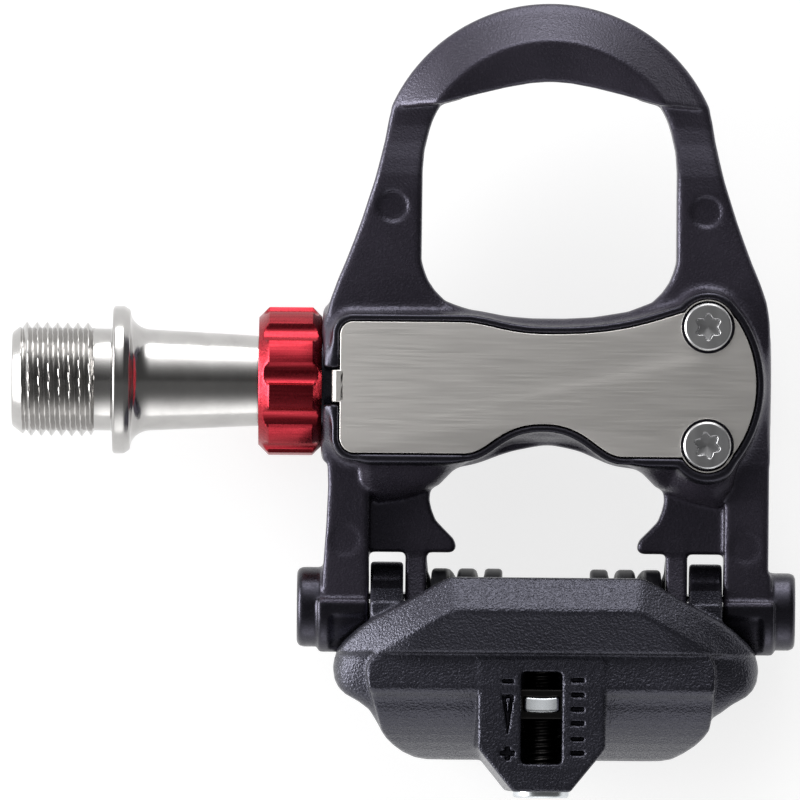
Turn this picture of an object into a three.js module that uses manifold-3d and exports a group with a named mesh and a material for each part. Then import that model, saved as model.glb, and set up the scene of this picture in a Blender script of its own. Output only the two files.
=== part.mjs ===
// Clipless road pedal, right-hand side, in millimetres.
// Frame: the spindle axis is X and points away from the crank, +Y is forwards, +Z is the shoe side.
// The origin is on the spindle axis, in the plane where the spindle's flange meets the crank arm.
import * as THREE from "three";
import { mergeVertices } from "three/addons/utils/BufferGeometryUtils.js";
import Module from "manifold-3d";

const wasm = await Module();
wasm.setup();

// ---- Driving dimensions ----
const CENTRE_X = 54.5; // middle of the pedal from the crank face
const ROUND = 32; // sides of a large round piece
const SMALL_ROUND = 24; // sides of a small round piece
const GAP = 0.1; // clearance between a piece and the seat that holds it

// Spindle
const THREAD_R = 7.14; // 9/16 inch crank thread
const THREAD_END = -12.6;
const FLANGE_R = 9.25;
const FLANGE_THICK = 2.2;
const NECK_R = 6.3;
const NECK_TIP_R = 5.65;
const JOURNAL_R = 5.0;
const HEX_KEY = 8; // across flats of the key that drives the spindle
const HEX_DEPTH = 9;

// Lock collar
const COLLAR_START = 18.3;
const COLLAR_END = 26.2;
const COLLAR_R = 9.3;
const COLLAR_TEETH = 10;
const SHANK_R = 7.4;
const SHANK_END = 32.8;

// Bearings
const BUSH_START = 33.0;
const BUSH_END = 45.0;
const BUSH_R = 6.35;
const SLEEVE_END = 63.2;
const BEARING_START = 63.5;
const BEARING_WIDTH = 3.0;
const BEARING_PITCH = 3.1;
const BEARING_BORE_R = 3.5;
const BEARING_R = 5.5;
const BALL_R = 0.5;
const BALL_COUNT = 9;
const BEARING_COUNT = 3;
const SPINDLE_TIP = 77.4;

// Pedal body
const BODY_INNER = -27.9; // inboard face, from the pedal's middle
const BODY_HALF = 28.1;
const NOSE_CENTRE_Y = 25.9;
const NOSE_R = 21.6;
const RIDGE_R = 16.4;
const RIM_TOP = 9.3;
const PLATE_TOP = 9.45;
const PLATE_THICK = 0.8;
const RIM_WIDTH = 1.0;
const ARM_TOP = 5.5; // front arms
const REAR_ARM_TOP = 4.0;
const CLAW_TOP = 1.6;
const CLAW_BOTTOM = -3.6;

// Hinge of the rear clip
const HINGE_Y = -28.25;
const HINGE_Z = -1.0;
const PIN_R = 2.0;
const PIN_HALF = 30.7;
const BOSS_R = 5.0;
const BOSS_HALF = 31.2;
const ARM_INNER = 22.3; // inner face of each outer hinge ear
const KNUCKLE_OUT = 22.0;
const KNUCKLE_IN = 17.9;
const KNUCKLE_R = 5.75;
const EAR_OUT = 17.6;
const EAR_IN = 14.95;
const EAR_R = 4.2;

// Rear clip
const LIP_Y = -24.25;
const LIP_HALF = 12.0;
const CREST_Z = 15.0;
const DECK_Z = 12.5;
const BARREL_Y = -38.0;
const BARREL_Z = 1.5;
const BARREL_R = 9.0;
const BOX_HALF = 8.1; // block that holds the tension screw
const BOX_END = -51.0;
const WINDOW_HALF = 2.55;
const WINDOW_FRONT = -36.0;
const WINDOW_REAR = -47.5;
const CAVITY_HALF = 5.5;

// Tension screw and nut
const SCREW_X = -0.5; // the tension screw and its block stand a little inboard
const SCREW_Z = 6.9;
const SCREW_R = 2.4;
const SCREW_HEAD_R = 3.5;
const NUT_Y = -40.5;
const NUT_LENGTH = 3.0;
const NUT_HALF = 4.3;

// Torsion spring
const WIRE_R = 1.15;
const COIL_R = 3.85;
const COIL_PITCH = 3.3;
const COIL_TURNS = 3;
const WIRE_SIDES = 6;

// ---- Helpers ----
function solidOf(geometry) {
  const bare = geometry.index ? geometry.toNonIndexed() : geometry.clone();
  for (const name of Object.keys(bare.attributes)) {
    if (name !== "position") bare.deleteAttribute(name);
  }
  const merged = mergeVertices(bare, 1e-4);
  const kept = [];
  const corners = merged.index.array;
  for (let i = 0; i < corners.length; i += 3) {
    const [a, b, c] = [corners[i], corners[i + 1], corners[i + 2]];
    if (a !== b && b !== c && a !== c) kept.push(a, b, c);
  }
  const vertProperties = merged.attributes.position.array;
  const make = () =>
    new wasm.Manifold(new wasm.Mesh({ numProp: 3, vertProperties, triVerts: new Uint32Array(kept) }));
  const made = make();
  if (made.volume() >= 0) return made;
  for (let i = 0; i < kept.length; i += 3) [kept[i + 1], kept[i + 2]] = [kept[i + 2], kept[i + 1]];
  return make();
}

function geometryOf(solid) {
  const mesh = solid.getMesh();
  const geometry = new THREE.BufferGeometry();
  geometry.setAttribute("position", new THREE.BufferAttribute(Float32Array.from(mesh.vertProperties), 3));
  geometry.setIndex(new THREE.BufferAttribute(Uint32Array.from(mesh.triVerts), 1));
  const flat = geometry.toNonIndexed();
  flat.computeVertexNormals();
  return flat;
}

const joined = (...solids) => solids.reduce((whole, next) => whole.add(next));
const cut = (solid, ...tools) => tools.reduce((whole, tool) => whole.subtract(tool), solid);

function shapeOf(points) {
  return new THREE.Shape(points.map((p) => new THREE.Vector2(p[0], p[1])));
}

// A plan outline in (x, y), raised from z0 to z1.
function slab(outline, z0, z1, curveSegments = 8) {
  const shape = Array.isArray(outline) ? shapeOf(outline) : outline;
  const geometry = new THREE.ExtrudeGeometry(shape, { depth: z1 - z0, bevelEnabled: false, curveSegments });
  geometry.translate(0, 0, z0);
  return solidOf(geometry);
}

// A side outline in (y, z), carried from x0 to x1.
function prism(outline, x0, x1, curveSegments = 8) {
  const shape = Array.isArray(outline) ? shapeOf(outline) : outline;
  const geometry = new THREE.ExtrudeGeometry(shape, { depth: x1 - x0, bevelEnabled: false, curveSegments });
  const yzToX = new THREE.Matrix4().makeBasis(
    new THREE.Vector3(0, 1, 0), new THREE.Vector3(0, 0, 1), new THREE.Vector3(1, 0, 0));
  geometry.applyMatrix4(yzToX);
  geometry.translate(x0, 0, 0);
  return solidOf(geometry);
}

function box(x0, x1, y0, y1, z0, z1) {
  const geometry = new THREE.BoxGeometry(x1 - x0, y1 - y0, z1 - z0);
  geometry.translate((x0 + x1) / 2, (y0 + y1) / 2, (z0 + z1) / 2);
  return solidOf(geometry);
}

// A profile of [distance along the axis, radius], turned about X, Y or Z through the origin.
function turned(profile, axis = "x", sides = ROUND) {
  const geometry = new THREE.LatheGeometry(profile.map((p) => new THREE.Vector2(p[1], p[0])), sides);
  if (axis === "x") geometry.rotateZ(-Math.PI / 2);
  if (axis === "z") geometry.rotateX(Math.PI / 2);
  return solidOf(geometry);
}

const rod = (a0, a1, r, axis = "x", sides = ROUND) => turned([[a0, 0], [a0, r], [a1, r], [a1, 0]], axis, sides);
const ring = (a0, a1, rIn, rOut, axis = "x", sides = ROUND) =>
  turned([[a0, rIn], [a0, rOut], [a1, rOut], [a1, rIn], [a0, rIn]], axis, sides);

// A rod along X about the clip's hinge.
const hingeRod = (x0, x1, r, sides = SMALL_ROUND) => rod(x0, x1, r, "x", sides).translate([0, HINGE_Y, HINGE_Z]);

// The same solid on both sides of the pedal's middle.
const bothSides = (solid) => solid.add(solid.mirror([1, 0, 0]));

function hexagon(acrossFlats, turn = 0) {
  return Array.from({ length: 6 }, (_, i) => {
    const angle = turn + (i * Math.PI) / 3;
    const r = acrossFlats / Math.sqrt(3);
    return [r * Math.cos(angle), r * Math.sin(angle)];
  });
}

// Moves each point of a counter-clockwise outline outwards by d.
function grown(points, d) {
  return points.map((p, i) => {
    const before = points[(i + points.length - 1) % points.length];
    const after = points[(i + 1) % points.length];
    const a = new THREE.Vector2(p[1] - before[1], before[0] - p[0]).normalize();
    const b = new THREE.Vector2(after[1] - p[1], p[0] - after[0]).normalize();
    const middle = a.clone().add(b).normalize();
    const reach = d / Math.max(0.5, middle.dot(a));
    return [p[0] + middle.x * reach, p[1] + middle.y * reach];
  });
}

const materials = {
  carbon: new THREE.MeshStandardMaterial({ color: 0x1b1b1f, roughness: 0.62, metalness: 0 }),
  clip: new THREE.MeshStandardMaterial({ color: 0x1d1e24, roughness: 0.6, metalness: 0 }),
  spindle: new THREE.MeshStandardMaterial({ color: 0xb9b8b6, roughness: 0.28, metalness: 1 }),
  plate: new THREE.MeshStandardMaterial({ color: 0xb0ada8, roughness: 0.35, metalness: 1 }),
  screw: new THREE.MeshStandardMaterial({ color: 0x8f9092, roughness: 0.4, metalness: 1 }),
  anodised: new THREE.MeshStandardMaterial({ color: 0xa3142a, roughness: 0.35, metalness: 0.9 }),
  steel: new THREE.MeshStandardMaterial({ color: 0x9a9b9d, roughness: 0.3, metalness: 1 }),
  oxide: new THREE.MeshStandardMaterial({ color: 0x202023, roughness: 0.5, metalness: 0.8 }),
  zinc: new THREE.MeshStandardMaterial({ color: 0xd0d4d6, roughness: 0.3, metalness: 1 }),
  polymer: new THREE.MeshStandardMaterial({ color: 0x3a3a38, roughness: 0.6, metalness: 0 }),
  rubber: new THREE.MeshStandardMaterial({ color: 0x141414, roughness: 0.85, metalness: 0 }),
};

function piece(name, solid, material) {
  const mesh = new THREE.Mesh(geometryOf(solid), material);
  mesh.name = name;
  return mesh;
}

// ---- Spindle and what is fixed to it, measured from the crank face ----
function spindle() {
  const tipR = 2.9;
  const shaft = turned([
    [THREAD_END, 0], [THREAD_END, 5.8], [THREAD_END + 1.6, THREAD_R], [-2.7, THREAD_R],
    [-2.3, 6.4], [0, 6.4], [0, FLANGE_R - 0.3], [0.3, FLANGE_R], [FLANGE_THICK - 0.2, FLANGE_R],
    [FLANGE_THICK, FLANGE_R - 0.4], [2.5, 8.0], [3.2, 7.1], [4.1, 6.55], [5.2, NECK_R],
    [COLLAR_START, NECK_TIP_R], [26, 5.5], [31, JOURNAL_R + 0.3], [BUSH_START, JOURNAL_R],
    [BUSH_END, JOURNAL_R], [60, 3.7], [61.5, 3.7], [61.9, 4.4], [BEARING_START - GAP, 4.4],
    [BEARING_START - GAP, BEARING_BORE_R - GAP], [73.2, BEARING_BORE_R - GAP], [73.4, tipR],
    [SPINDLE_TIP - 0.4, tipR], [SPINDLE_TIP, tipR - 0.4], [SPINDLE_TIP, 0],
  ]);
  const socket = prism(hexagon(HEX_KEY), THREAD_END - 1, THREAD_END + HEX_DEPTH);
  const mouth = turned([[THREAD_END - 0.1, 0], [THREAD_END - 0.1, 5.0], [THREAD_END + 0.9, 3.9],
    [THREAD_END + 0.9, 0]]);
  return piece("spindle", cut(shaft, socket, mouth), materials.spindle);
}

function spindleNut() {
  const blank = prism(hexagon(8, Math.PI / 6), 73.4, 76.6);
  return piece("spindle_nut", cut(blank, rod(72, 78, 2.9 + GAP, "x", ROUND)), materials.steel);
}

const bearingX = (i) => BEARING_START + i * BEARING_PITCH;

function innerRace(i) {
  const race = piece(`bearing_inner_race_${i + 1}`,
    ring(0, BEARING_WIDTH, BEARING_BORE_R, 3.95, "x", SMALL_ROUND), materials.steel);
  race.position.x = bearingX(i);
  return race;
}

// ---- Pedal body and what is fixed to it, measured from the pedal's middle ----

// The steel plate's outline, counter-clockwise from its front inboard corner.
function plateOutline() {
  const shape = new THREE.Shape();
  shape.moveTo(-26.0, 6.0);
  shape.lineTo(-26.0, -7.2);
  shape.quadraticCurveTo(-26.0, -8.85, -24.2, -8.85);
  shape.lineTo(-10.6, -8.85);
  shape.bezierCurveTo(-7.2, -8.85, -6.4, -5.1, -0.6, -5.1);
  shape.bezierCurveTo(5.0, -5.1, 6.4, -9.1, 9.4, -9.1);
  shape.lineTo(16.6, -9.1);
  shape.absarc(19.9, -7.6, 3.35, Math.PI * 1.15, Math.PI * 1.72, false);
  shape.absarc(11.35, -0.1, 14.6, -0.6, 0.6, false);
  shape.absarc(19.9, 7.2, 3.35, Math.PI * 0.28, Math.PI * 0.82, false);
  shape.bezierCurveTo(12.5, 7.6, 9.0, 6.1, 0, 6.1);
  shape.bezierCurveTo(-6.0, 6.1, -7.2, 7.5, -11.2, 7.5);
  shape.lineTo(-24.4, 7.5);
  shape.quadraticCurveTo(-26.0, 7.5, -26.0, 6.0);
  const points = shape.getPoints(4).map((p) => [p.x, p.y]);
  return points.filter((p, i) => {
    const next = points[(i + 1) % points.length];
    return Math.hypot(p[0] - next[0], p[1] - next[1]) > 0.05;
  });
}

const PLATE = plateOutline();
const PLATE_SCREWS = [["front", 7.2], ["rear", -7.6]];
const PLATE_SCREW_X = 19.9;

// Half of the body's plan, from the axle to the tip of the nose, mirrored to the other side.
function frameOutline() {
  const shape = new THREE.Shape();
  shape.moveTo(-BODY_HALF, -8);
  shape.lineTo(BODY_HALF, -8);
  shape.lineTo(BODY_HALF, 3);
  shape.bezierCurveTo(BODY_HALF, 11, 20.9, 25.5, 20.0, 34.1);
  shape.absarc(0, NOSE_CENTRE_Y, NOSE_R, 0.39, Math.PI - 0.39, false);
  shape.bezierCurveTo(-20.9, 25.5, -BODY_HALF, 11, -BODY_HALF, 3);
  return shape;
}

function frontOpening() {
  const shape = new THREE.Shape();
  shape.moveTo(0, 8.0);
  shape.lineTo(8.0, 8.6);
  shape.bezierCurveTo(13.2, 9.2, 15.9, 11.5, 15.9, 17.0);
  shape.lineTo(15.9, 26.5);
  shape.quadraticCurveTo(15.8, 31.0, 13.6, 34.75);
  shape.absarc(0, NOSE_CENTRE_Y, RIDGE_R + 0.2, 0.58, Math.PI - 0.58, false);
  shape.lineTo(-13.6, 34.75);
  shape.quadraticCurveTo(-15.8, 31.0, -15.9, 26.5);
  shape.lineTo(-15.9, 17.0);
  shape.bezierCurveTo(-15.9, 11.5, -13.2, 9.2, -8.0, 8.6);
  return shape;
}

// Everything ahead of the hook's rear edge.
const AHEAD_OF_HOOK = [[-30, 32.6], [-13.6, 34.75], [-5.5, 36.8], [0, 37.5], [5.5, 36.8], [13.6, 34.75],
  [30, 32.6], [30, 60], [-30, 60]];

function noseHook() {
  const hook = turned([[9.5, NOSE_R], [13.7, RIDGE_R], [12.4, 9.0], [11.2, 9.0], [11.2, 17.0],
    [6.2, 17.0], [6.2, 14.6], [2.6, 14.6], [2.6, NOSE_R - 1.0], [4.0, NOSE_R], [9.5, NOSE_R]], "z", 44)
    .translate([0, NOSE_CENTRE_Y, 0]);
  return hook.intersect(slab(AHEAD_OF_HOOK, 0, 16));
}

function frontFrame() {
  const side = [[-8, -4.5], [12, -4.5], [24, -2.2], [34, 1.6], [44, 3.4], [50, 3.4], [50, 9.5], [34, 9.6],
    [31.0, 9.4], [28.5, 7.6], [26.0, 6.0], [23.5, ARM_TOP], [-8, ARM_TOP]];
  const plan = slab(frameOutline(), -12, 16, 8).subtract(slab(frontOpening(), -13, 17, 6));
  return joined(plan.intersect(prism(side, -30, 30)), noseHook());
}

function axleHousing() {
  const tube = turned([[BODY_INNER, 0], [BODY_INNER, 9.3], [-14, 9.3], [-6, 7.9], [24, 7.7], [27.2, 6.6],
    [BODY_HALF, 5.4], [BODY_HALF, 0]]);
  const deck = slab(grown(PLATE, RIM_WIDTH + 0.1), 0, RIM_TOP);
  const skirt = slab(grown(PLATE, RIM_WIDTH + 0.8), -2, 6.2);
  const inside = box(BODY_INNER, BODY_HALF, -30, 30, -12, 12);
  return joined(tube, deck, skirt).intersect(inside);
}

function rearArms() {
  const side = new THREE.Shape();
  side.moveTo(-4, REAR_ARM_TOP);
  side.lineTo(HINGE_Y, REAR_ARM_TOP);
  side.absarc(HINGE_Y, HINGE_Z, BOSS_R, Math.PI / 2, Math.PI * 1.5, false);
  side.lineTo(-14, -6.0);
  side.lineTo(-4, -8.5);
  const arm = prism(side, ARM_INNER, 27.9);
  const boss = hingeRod(ARM_INNER, BOSS_HALF, BOSS_R);
  const pad = prism([[HINGE_Y + 0.8, 4.0], [HINGE_Y + 0.8, 4.6], [HINGE_Y - 2.6, 4.2], [HINGE_Y - 4.8, 1.6],
    [HINGE_Y - 5.4, -1.0], [HINGE_Y - 4.4, -1.4], [HINGE_Y - 3, 1]], ARM_INNER, 28.6);
  return bothSides(joined(arm, boss, pad));
}

// Plates behind the axle that guide the cleat, and the inner hinge ears under them.
function claws() {
  const plan = new THREE.Shape();
  plan.moveTo(23, -6);
  plan.lineTo(13.3, -10.4);
  plan.absarc(9.8, -14.1, 4.9, 0.72, -0.99, true);
  plan.lineTo(11.5, -19.7);
  plan.lineTo(11.5, -21.25);
  plan.lineTo(23, -21.25);
  const claw = slab(plan, CLAW_BOTTOM, CLAW_TOP);
  const ear = prism([[-20, CLAW_TOP], [-20, CLAW_BOTTOM], [-24, -4.6], [HINGE_Y, HINGE_Z - EAR_R],
    [HINGE_Y - 1, HINGE_Z - 1], [HINGE_Y, HINGE_Z + EAR_R], [-24, 2.2], [-21.25, CLAW_TOP]], EAR_IN, EAR_OUT);
  const slope = prism([[-5, RIM_TOP - 0.3], [-10.2, RIM_TOP - 0.3], [-15.4, 1.0], [-5, 1.0]], 13.2, BODY_HALF)
    .intersect(slab([[12, -5], [12.6, -12.2], [22.4, -15.3], [BODY_HALF, -12.2], [BODY_HALF, -5]], 0, 9));
  return bothSides(joined(claw, ear, hingeRod(EAR_IN, EAR_OUT, EAR_R), slope));
}

function axleBore() {
  return turned([[BODY_INNER - 1, 0], [BODY_INNER - 1, SHANK_R + GAP], [SHANK_END + GAP - CENTRE_X, SHANK_R + GAP],
    [SHANK_END + GAP - CENTRE_X, BUSH_R + GAP], [SLEEVE_END + GAP - CENTRE_X, BUSH_R + GAP],
    [SLEEVE_END + GAP - CENTRE_X, BEARING_R + GAP], [73.1 - CENTRE_X, BEARING_R + GAP],
    [73.1 - CENTRE_X, 4.9], [78.2 - CENTRE_X, 4.9], [79.6 - CENTRE_X, 0]]);
}

function pedalBody() {
  const whole = joined(frontFrame(), axleHousing(), rearArms(), claws());
  const arch = slab([[-14.2, -11.4], [-8.6, -9.9], [-4.2, -8.55], [0, -7.8], [4.2, -8.55], [8.6, -9.9],
    [14.2, -11.4], [14.2, -13], [-14.2, -13]], -12, 12);
  const recess = slab(grown(PLATE, GAP), PLATE_TOP - PLATE_THICK - GAP, 12);
  const notch = box(-29, -26, -2.9, 1.8, 5.6, 12);
  const screwHoles = PLATE_SCREWS.map(([, y]) =>
    rod(2.4, 9, 1.5 + GAP, "z", SMALL_ROUND).translate([PLATE_SCREW_X, y, 0]));
  const pinHole = hingeRod(-40, 40, PIN_R + GAP);
  return piece("pedal_body", cut(whole, arch, recess, notch, axleBore(), pinHole, ...screwHoles), materials.carbon);
}

function platformPlate() {
  const bottom = PLATE_TOP - PLATE_THICK;
  const sheet = slab(PLATE, bottom, PLATE_TOP);
  const tab = joined(box(-27.0, -25, -2.6, 1.5, bottom, PLATE_TOP), box(-27.0, -26.3, -2.6, 1.5, 7.7, PLATE_TOP));
  const holes = PLATE_SCREWS.map(([, y]) =>
    rod(8, 10, 1.5 + GAP, "z", SMALL_ROUND).translate([PLATE_SCREW_X, y, 0]));
  return piece("platform_plate", cut(joined(sheet, tab), ...holes), materials.plate);
}

function plateScrew([label, y]) {
  const headR = 3.1;
  const blank = turned([[-6.6, 0], [-6.6, 1.5], [0, 1.5], [0, headR], [0.5, headR], [0.9, headR - 0.35], [0.9, 0]],
    "z", SMALL_ROUND);
  const star = slab(Array.from({ length: 12 }, (_, i) => {
    const r = i % 2 ? 1.05 : 1.5;
    const angle = 0.1 + (i * Math.PI) / 6;
    return [r * Math.cos(angle), r * Math.sin(angle)];
  }), -1.2, 2);
  const screw = piece(`plate_screw_${label}`, cut(blank, star), materials.screw);
  screw.position.set(PLATE_SCREW_X, y, PLATE_TOP);
  return screw;
}

function lockCollar() {
  const toothHalf = 0.17; // radians
  const grooveR = 8.55;
  const outline = [];
  for (let i = 0; i < COLLAR_TEETH; i += 1) {
    const middle = ((i + 0.4) * 2 * Math.PI) / COLLAR_TEETH;
    const corners = [[-toothHalf, COLLAR_R], [0, COLLAR_R], [toothHalf, COLLAR_R], [toothHalf + 0.1, grooveR],
      [Math.PI / COLLAR_TEETH, grooveR - 0.15], [2 * Math.PI / COLLAR_TEETH - toothHalf - 0.1, grooveR]];
    for (const [turn, r] of corners) outline.push([r * Math.cos(middle + turn), r * Math.sin(middle + turn)]);
  }
  const crown = prism(outline, COLLAR_START, COLLAR_END).intersect(turned([[COLLAR_START, 0],
    [COLLAR_START, 6.4], [COLLAR_START + 0.4, 7.6], [COLLAR_START + 1.2, 9.0], [COLLAR_START + 1.6, 9.6],
    [COLLAR_END - 0.4, 9.6], [COLLAR_END, 9.0], [COLLAR_END, 0]]));
  const flangeRing = rod(COLLAR_START + 1, COLLAR_END - 0.6, grooveR - 0.1);
  const shank = rod(COLLAR_END - 0.1, SHANK_END, SHANK_R);
  const bore = turned([[COLLAR_START - 1, 0], [COLLAR_START - 1, 5.95], [COLLAR_START + 1.2, 5.95],
    [COLLAR_START + 1.2, 7.3], [COLLAR_START + 3.8, 7.3], [COLLAR_START + 3.8, 5.95], [SHANK_END + 1, 5.95],
    [SHANK_END + 1, 0]]);
  return piece("lock_collar", cut(joined(crown, flangeRing, shank), bore), materials.anodised);
}

function axleSeal() {
  return piece("axle_seal", ring(COLLAR_START + 1.4, COLLAR_START + 3.6, 5.8, 7.2), materials.rubber);
}

function axleBush() {
  return piece("axle_bush", ring(BUSH_START, BUSH_END, JOURNAL_R + 0.06, BUSH_R), materials.polymer);
}

function spacerSleeve() {
  return piece("spacer_sleeve", ring(BUSH_END + GAP, SLEEVE_END, 5.12, BUSH_R), materials.steel);
}

function outerRace(i) {
  const race = piece(`bearing_outer_race_${i + 1}`,
    ring(0, BEARING_WIDTH, 5.05, BEARING_R, "x", SMALL_ROUND), materials.steel);
  race.position.x = bearingX(i);
  return race;
}

// A bearing's balls in their cage.
function ballCage(i) {
  const orbit = 4.5;
  let cage = ring(1.3, 1.7, 4.3, 4.7, "x", BALL_COUNT * 2);
  for (let n = 0; n < BALL_COUNT; n += 1) {
    const angle = (n * 2 * Math.PI) / BALL_COUNT;
    const ball = new THREE.SphereGeometry(BALL_R - 0.01, 6, 4);
    ball.translate(BEARING_WIDTH / 2, orbit * Math.cos(angle), orbit * Math.sin(angle));
    cage = cage.add(solidOf(ball));
  }
  const mesh = piece(`ball_cage_${i + 1}`, cage, materials.steel);
  mesh.position.x = bearingX(i);
  return mesh;
}

function hingePin() {
  const edge = 0.3;
  const pin = turned([[-PIN_HALF, 0], [-PIN_HALF, PIN_R - edge], [-PIN_HALF + edge, PIN_R], [PIN_HALF - edge, PIN_R],
    [PIN_HALF, PIN_R - edge], [PIN_HALF, 0]], "x", SMALL_ROUND);
  const mesh = piece("hinge_pin", pin, materials.steel);
  mesh.position.set(0, HINGE_Y, HINGE_Z);
  return mesh;
}

// Two coils round the hinge pin, with legs under the claws and one loop under the tension nut.
function torsionSpring() {
  const legX = -13.5;
  const exitX = -5.8;
  const half = [[legX, -16.2, HINGE_Z - COIL_R], [legX, -22.0, HINGE_Z - COIL_R]];
  const stepsPerTurn = 12;
  for (let i = 0; i <= COIL_TURNS * stepsPerTurn; i += 1) {
    const turn = i / stepsPerTurn;
    const angle = -Math.PI / 2 - turn * 2 * Math.PI;
    const steady = legX + 0.55 + COIL_PITCH * (turn - 0.5);
    const x = Math.min(exitX, Math.max(legX, steady));
    half.push([x, HINGE_Y + COIL_R * Math.cos(angle), HINGE_Z + COIL_R * Math.sin(angle)]);
  }
  half.push([-5.6, -32.2, -4.2], [-5.0, -36.0, -1.4], [-4.3, -39.5, 1.3]);
  const loop = [[-4.0, -42.0, 2.3], [-3.2, -44.4, 2.4], [0, -46.0, 2.4], [3.2, -44.4, 2.4], [4.0, -42.0, 2.3]];
  const other = half.map(([x, y, z]) => [-x, y, z]).reverse();
  const path = new THREE.CatmullRomCurve3([...half, ...loop, ...other].map((p) => new THREE.Vector3(...p)));
  const section = new THREE.Shape();
  section.absarc(0, 0, WIRE_R, 0, 2 * Math.PI, false);
  const wire = new THREE.ExtrudeGeometry(section, {
    steps: 96, extrudePath: path, curveSegments: WIRE_SIDES / 2, bevelEnabled: false });
  return piece("torsion_spring", solidOf(wire), materials.oxide);
}

// ---- Rear clip, measured from the pedal's middle ----
function clipJaw() {
  const side = new THREE.Shape();
  side.moveTo(LIP_Y, 10.4);
  side.lineTo(LIP_Y, 12.2);
  side.lineTo(-28.3, CREST_Z);
  side.lineTo(-34.2, 13.2);
  side.lineTo(-34.7, DECK_Z);
  side.lineTo(-38.2, DECK_Z - 0.2);
  side.lineTo(-39.2, BARREL_Z + BARREL_R);
  side.absarc(BARREL_Y, BARREL_Z, BARREL_R, Math.PI * 0.54, Math.PI * 1.5, false);
  side.lineTo(-33.0, -7.5);
  side.lineTo(-31.6, -6.4);
  side.lineTo(-31.6, 4.6);
  side.lineTo(-25.7, 4.6);
  side.lineTo(-25.7, 10.4);
  const plan = new THREE.Shape();
  plan.moveTo(LIP_HALF, LIP_Y);
  plan.lineTo(-LIP_HALF, LIP_Y);
  plan.lineTo(-21.6, -29.4);
  plan.lineTo(-22.0, -36.0);
  plan.quadraticCurveTo(-21.4, -47.0, -15.0, -47.1);
  plan.lineTo(15.0, -47.1);
  plan.quadraticCurveTo(21.4, -47.0, 22.0, -36.0);
  plan.lineTo(21.6, -29.4);
  const main = prism(side, -KNUCKLE_OUT, KNUCKLE_OUT).intersect(slab(plan, -12, 20));

  const wingPlan = [[20, -28.6], [24.4, -31.9], [26.2, -34.1], [26.6, -36.0], [26.4, -37.9], [24.4, -39.4],
    [20, -41.4]];
  const wingSide = [[-28, 5.4], [-28, 11.8], [-35, 10.5], [-41, 5.5], [-43, 0], [-41, -5], [-34.6, -5], [-33.9, 3]];
  const wing = slab(wingPlan, -8, 14).intersect(prism(wingSide, 18, 28));
  const knuckle = joined(hingeRod(KNUCKLE_IN, KNUCKLE_OUT, KNUCKLE_R, ROUND),
    prism([[-33, -6], [-33, 8], [-27, 8], [-24.4, 3], [HINGE_Y, -6.7]], KNUCKLE_IN, KNUCKLE_OUT));
  const chin = BARREL_Z - BARREL_R;
  const block = slab([[-BOX_HALF, -35], [-BOX_HALF, -46.4], [-3.4, BOX_END], [3.4, BOX_END], [BOX_HALF, -46.4],
    [BOX_HALF, -35]], chin + 3.5, DECK_Z).translate([SCREW_X, 0, 0]);

  const coilRoom = hingeRod(-KNUCKLE_IN + 0.05, KNUCKLE_IN - 0.05, 5.45, ROUND);
  const coilMouth = box(-KNUCKLE_IN + 0.05, KNUCKLE_IN - 0.05, -28.3, -20, -9, HINGE_Z + 5.4);
  const loopRoom = prism([[-30, -6.25], [-34, -5.6], [-38.5, -1.5], [-42, 0.9], [-47.6, 0.9], [-47.6, 4.6], [-36, 4.6],
    [-34, 3.8], [-30, 2]], -7.2, 7.2).intersect(slab([[-7.2, -29], [-7.2, -36], [-5.5, -41], [-5.5, -44],
    [-4.4, -46.6], [-2.4, -47.6], [2.4, -47.6], [4.4, -46.6], [5.5, -44], [5.5, -41], [7.2, -36], [7.2, -29]], -9, 9));
  const nutRoom = box(-NUT_HALF - 0.2, NUT_HALF + 0.2, -47.7, -35.5, 3.4, 10.6).translate([SCREW_X, 0, 0]);
  const window = box(-WINDOW_HALF, WINDOW_HALF, WINDOW_REAR, WINDOW_FRONT, 10, 16).translate([SCREW_X, 0, 0]);
  const alongScrew = (y0, y1, r) => rod(y0, y1, r, "y", SMALL_ROUND).translate([SCREW_X, 0, SCREW_Z]);
  const bossRoom = bothSides(hingeRod(KNUCKLE_OUT + 0.02, 32, 6.3, ROUND));
  const bushHoles = hingeRod(-30, 30, 3.0 + GAP);
  return piece("clip_jaw", cut(joined(main, bothSides(joined(wing.subtract(bossRoom), knuckle)), block),
    coilRoom, coilMouth, loopRoom, nutRoom, window, bushHoles, alongScrew(-52, -48.6, SCREW_HEAD_R + 0.2),
    alongScrew(-50, -34.0, SCREW_R + 0.15)), materials.clip);
}

function hingeBush(label, side) {
  const width = KNUCKLE_OUT - KNUCKLE_IN;
  const bush = piece(`hinge_bush_${label}`,
    ring(-width / 2, width / 2, PIN_R + 0.06, 3.0, "x", SMALL_ROUND), materials.polymer);
  bush.position.set((side * (KNUCKLE_OUT + KNUCKLE_IN)) / 2, HINGE_Y, HINGE_Z);
  return bush;
}

function tensionScrew() {
  const headStart = -51.8;
  const underHead = -49.2;
  const blank = turned([[headStart, 0], [headStart, SCREW_HEAD_R - 0.4], [headStart + 0.4, SCREW_HEAD_R],
    [underHead, SCREW_HEAD_R], [underHead, SCREW_R], [-34.8, SCREW_R], [-34.3, SCREW_R - 0.5], [-34.3, 0]], "y",
    SMALL_ROUND);
  const socket = new THREE.ExtrudeGeometry(shapeOf(hexagon(3)), { depth: 2.8, bevelEnabled: false });
  socket.rotateX(Math.PI / 2);
  socket.translate(0, headStart + 1.8, 0);
  const screw = piece("tension_screw", cut(blank, solidOf(socket)), materials.zinc);
  screw.position.set(SCREW_X, 0, SCREW_Z);
  return screw;
}

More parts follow.
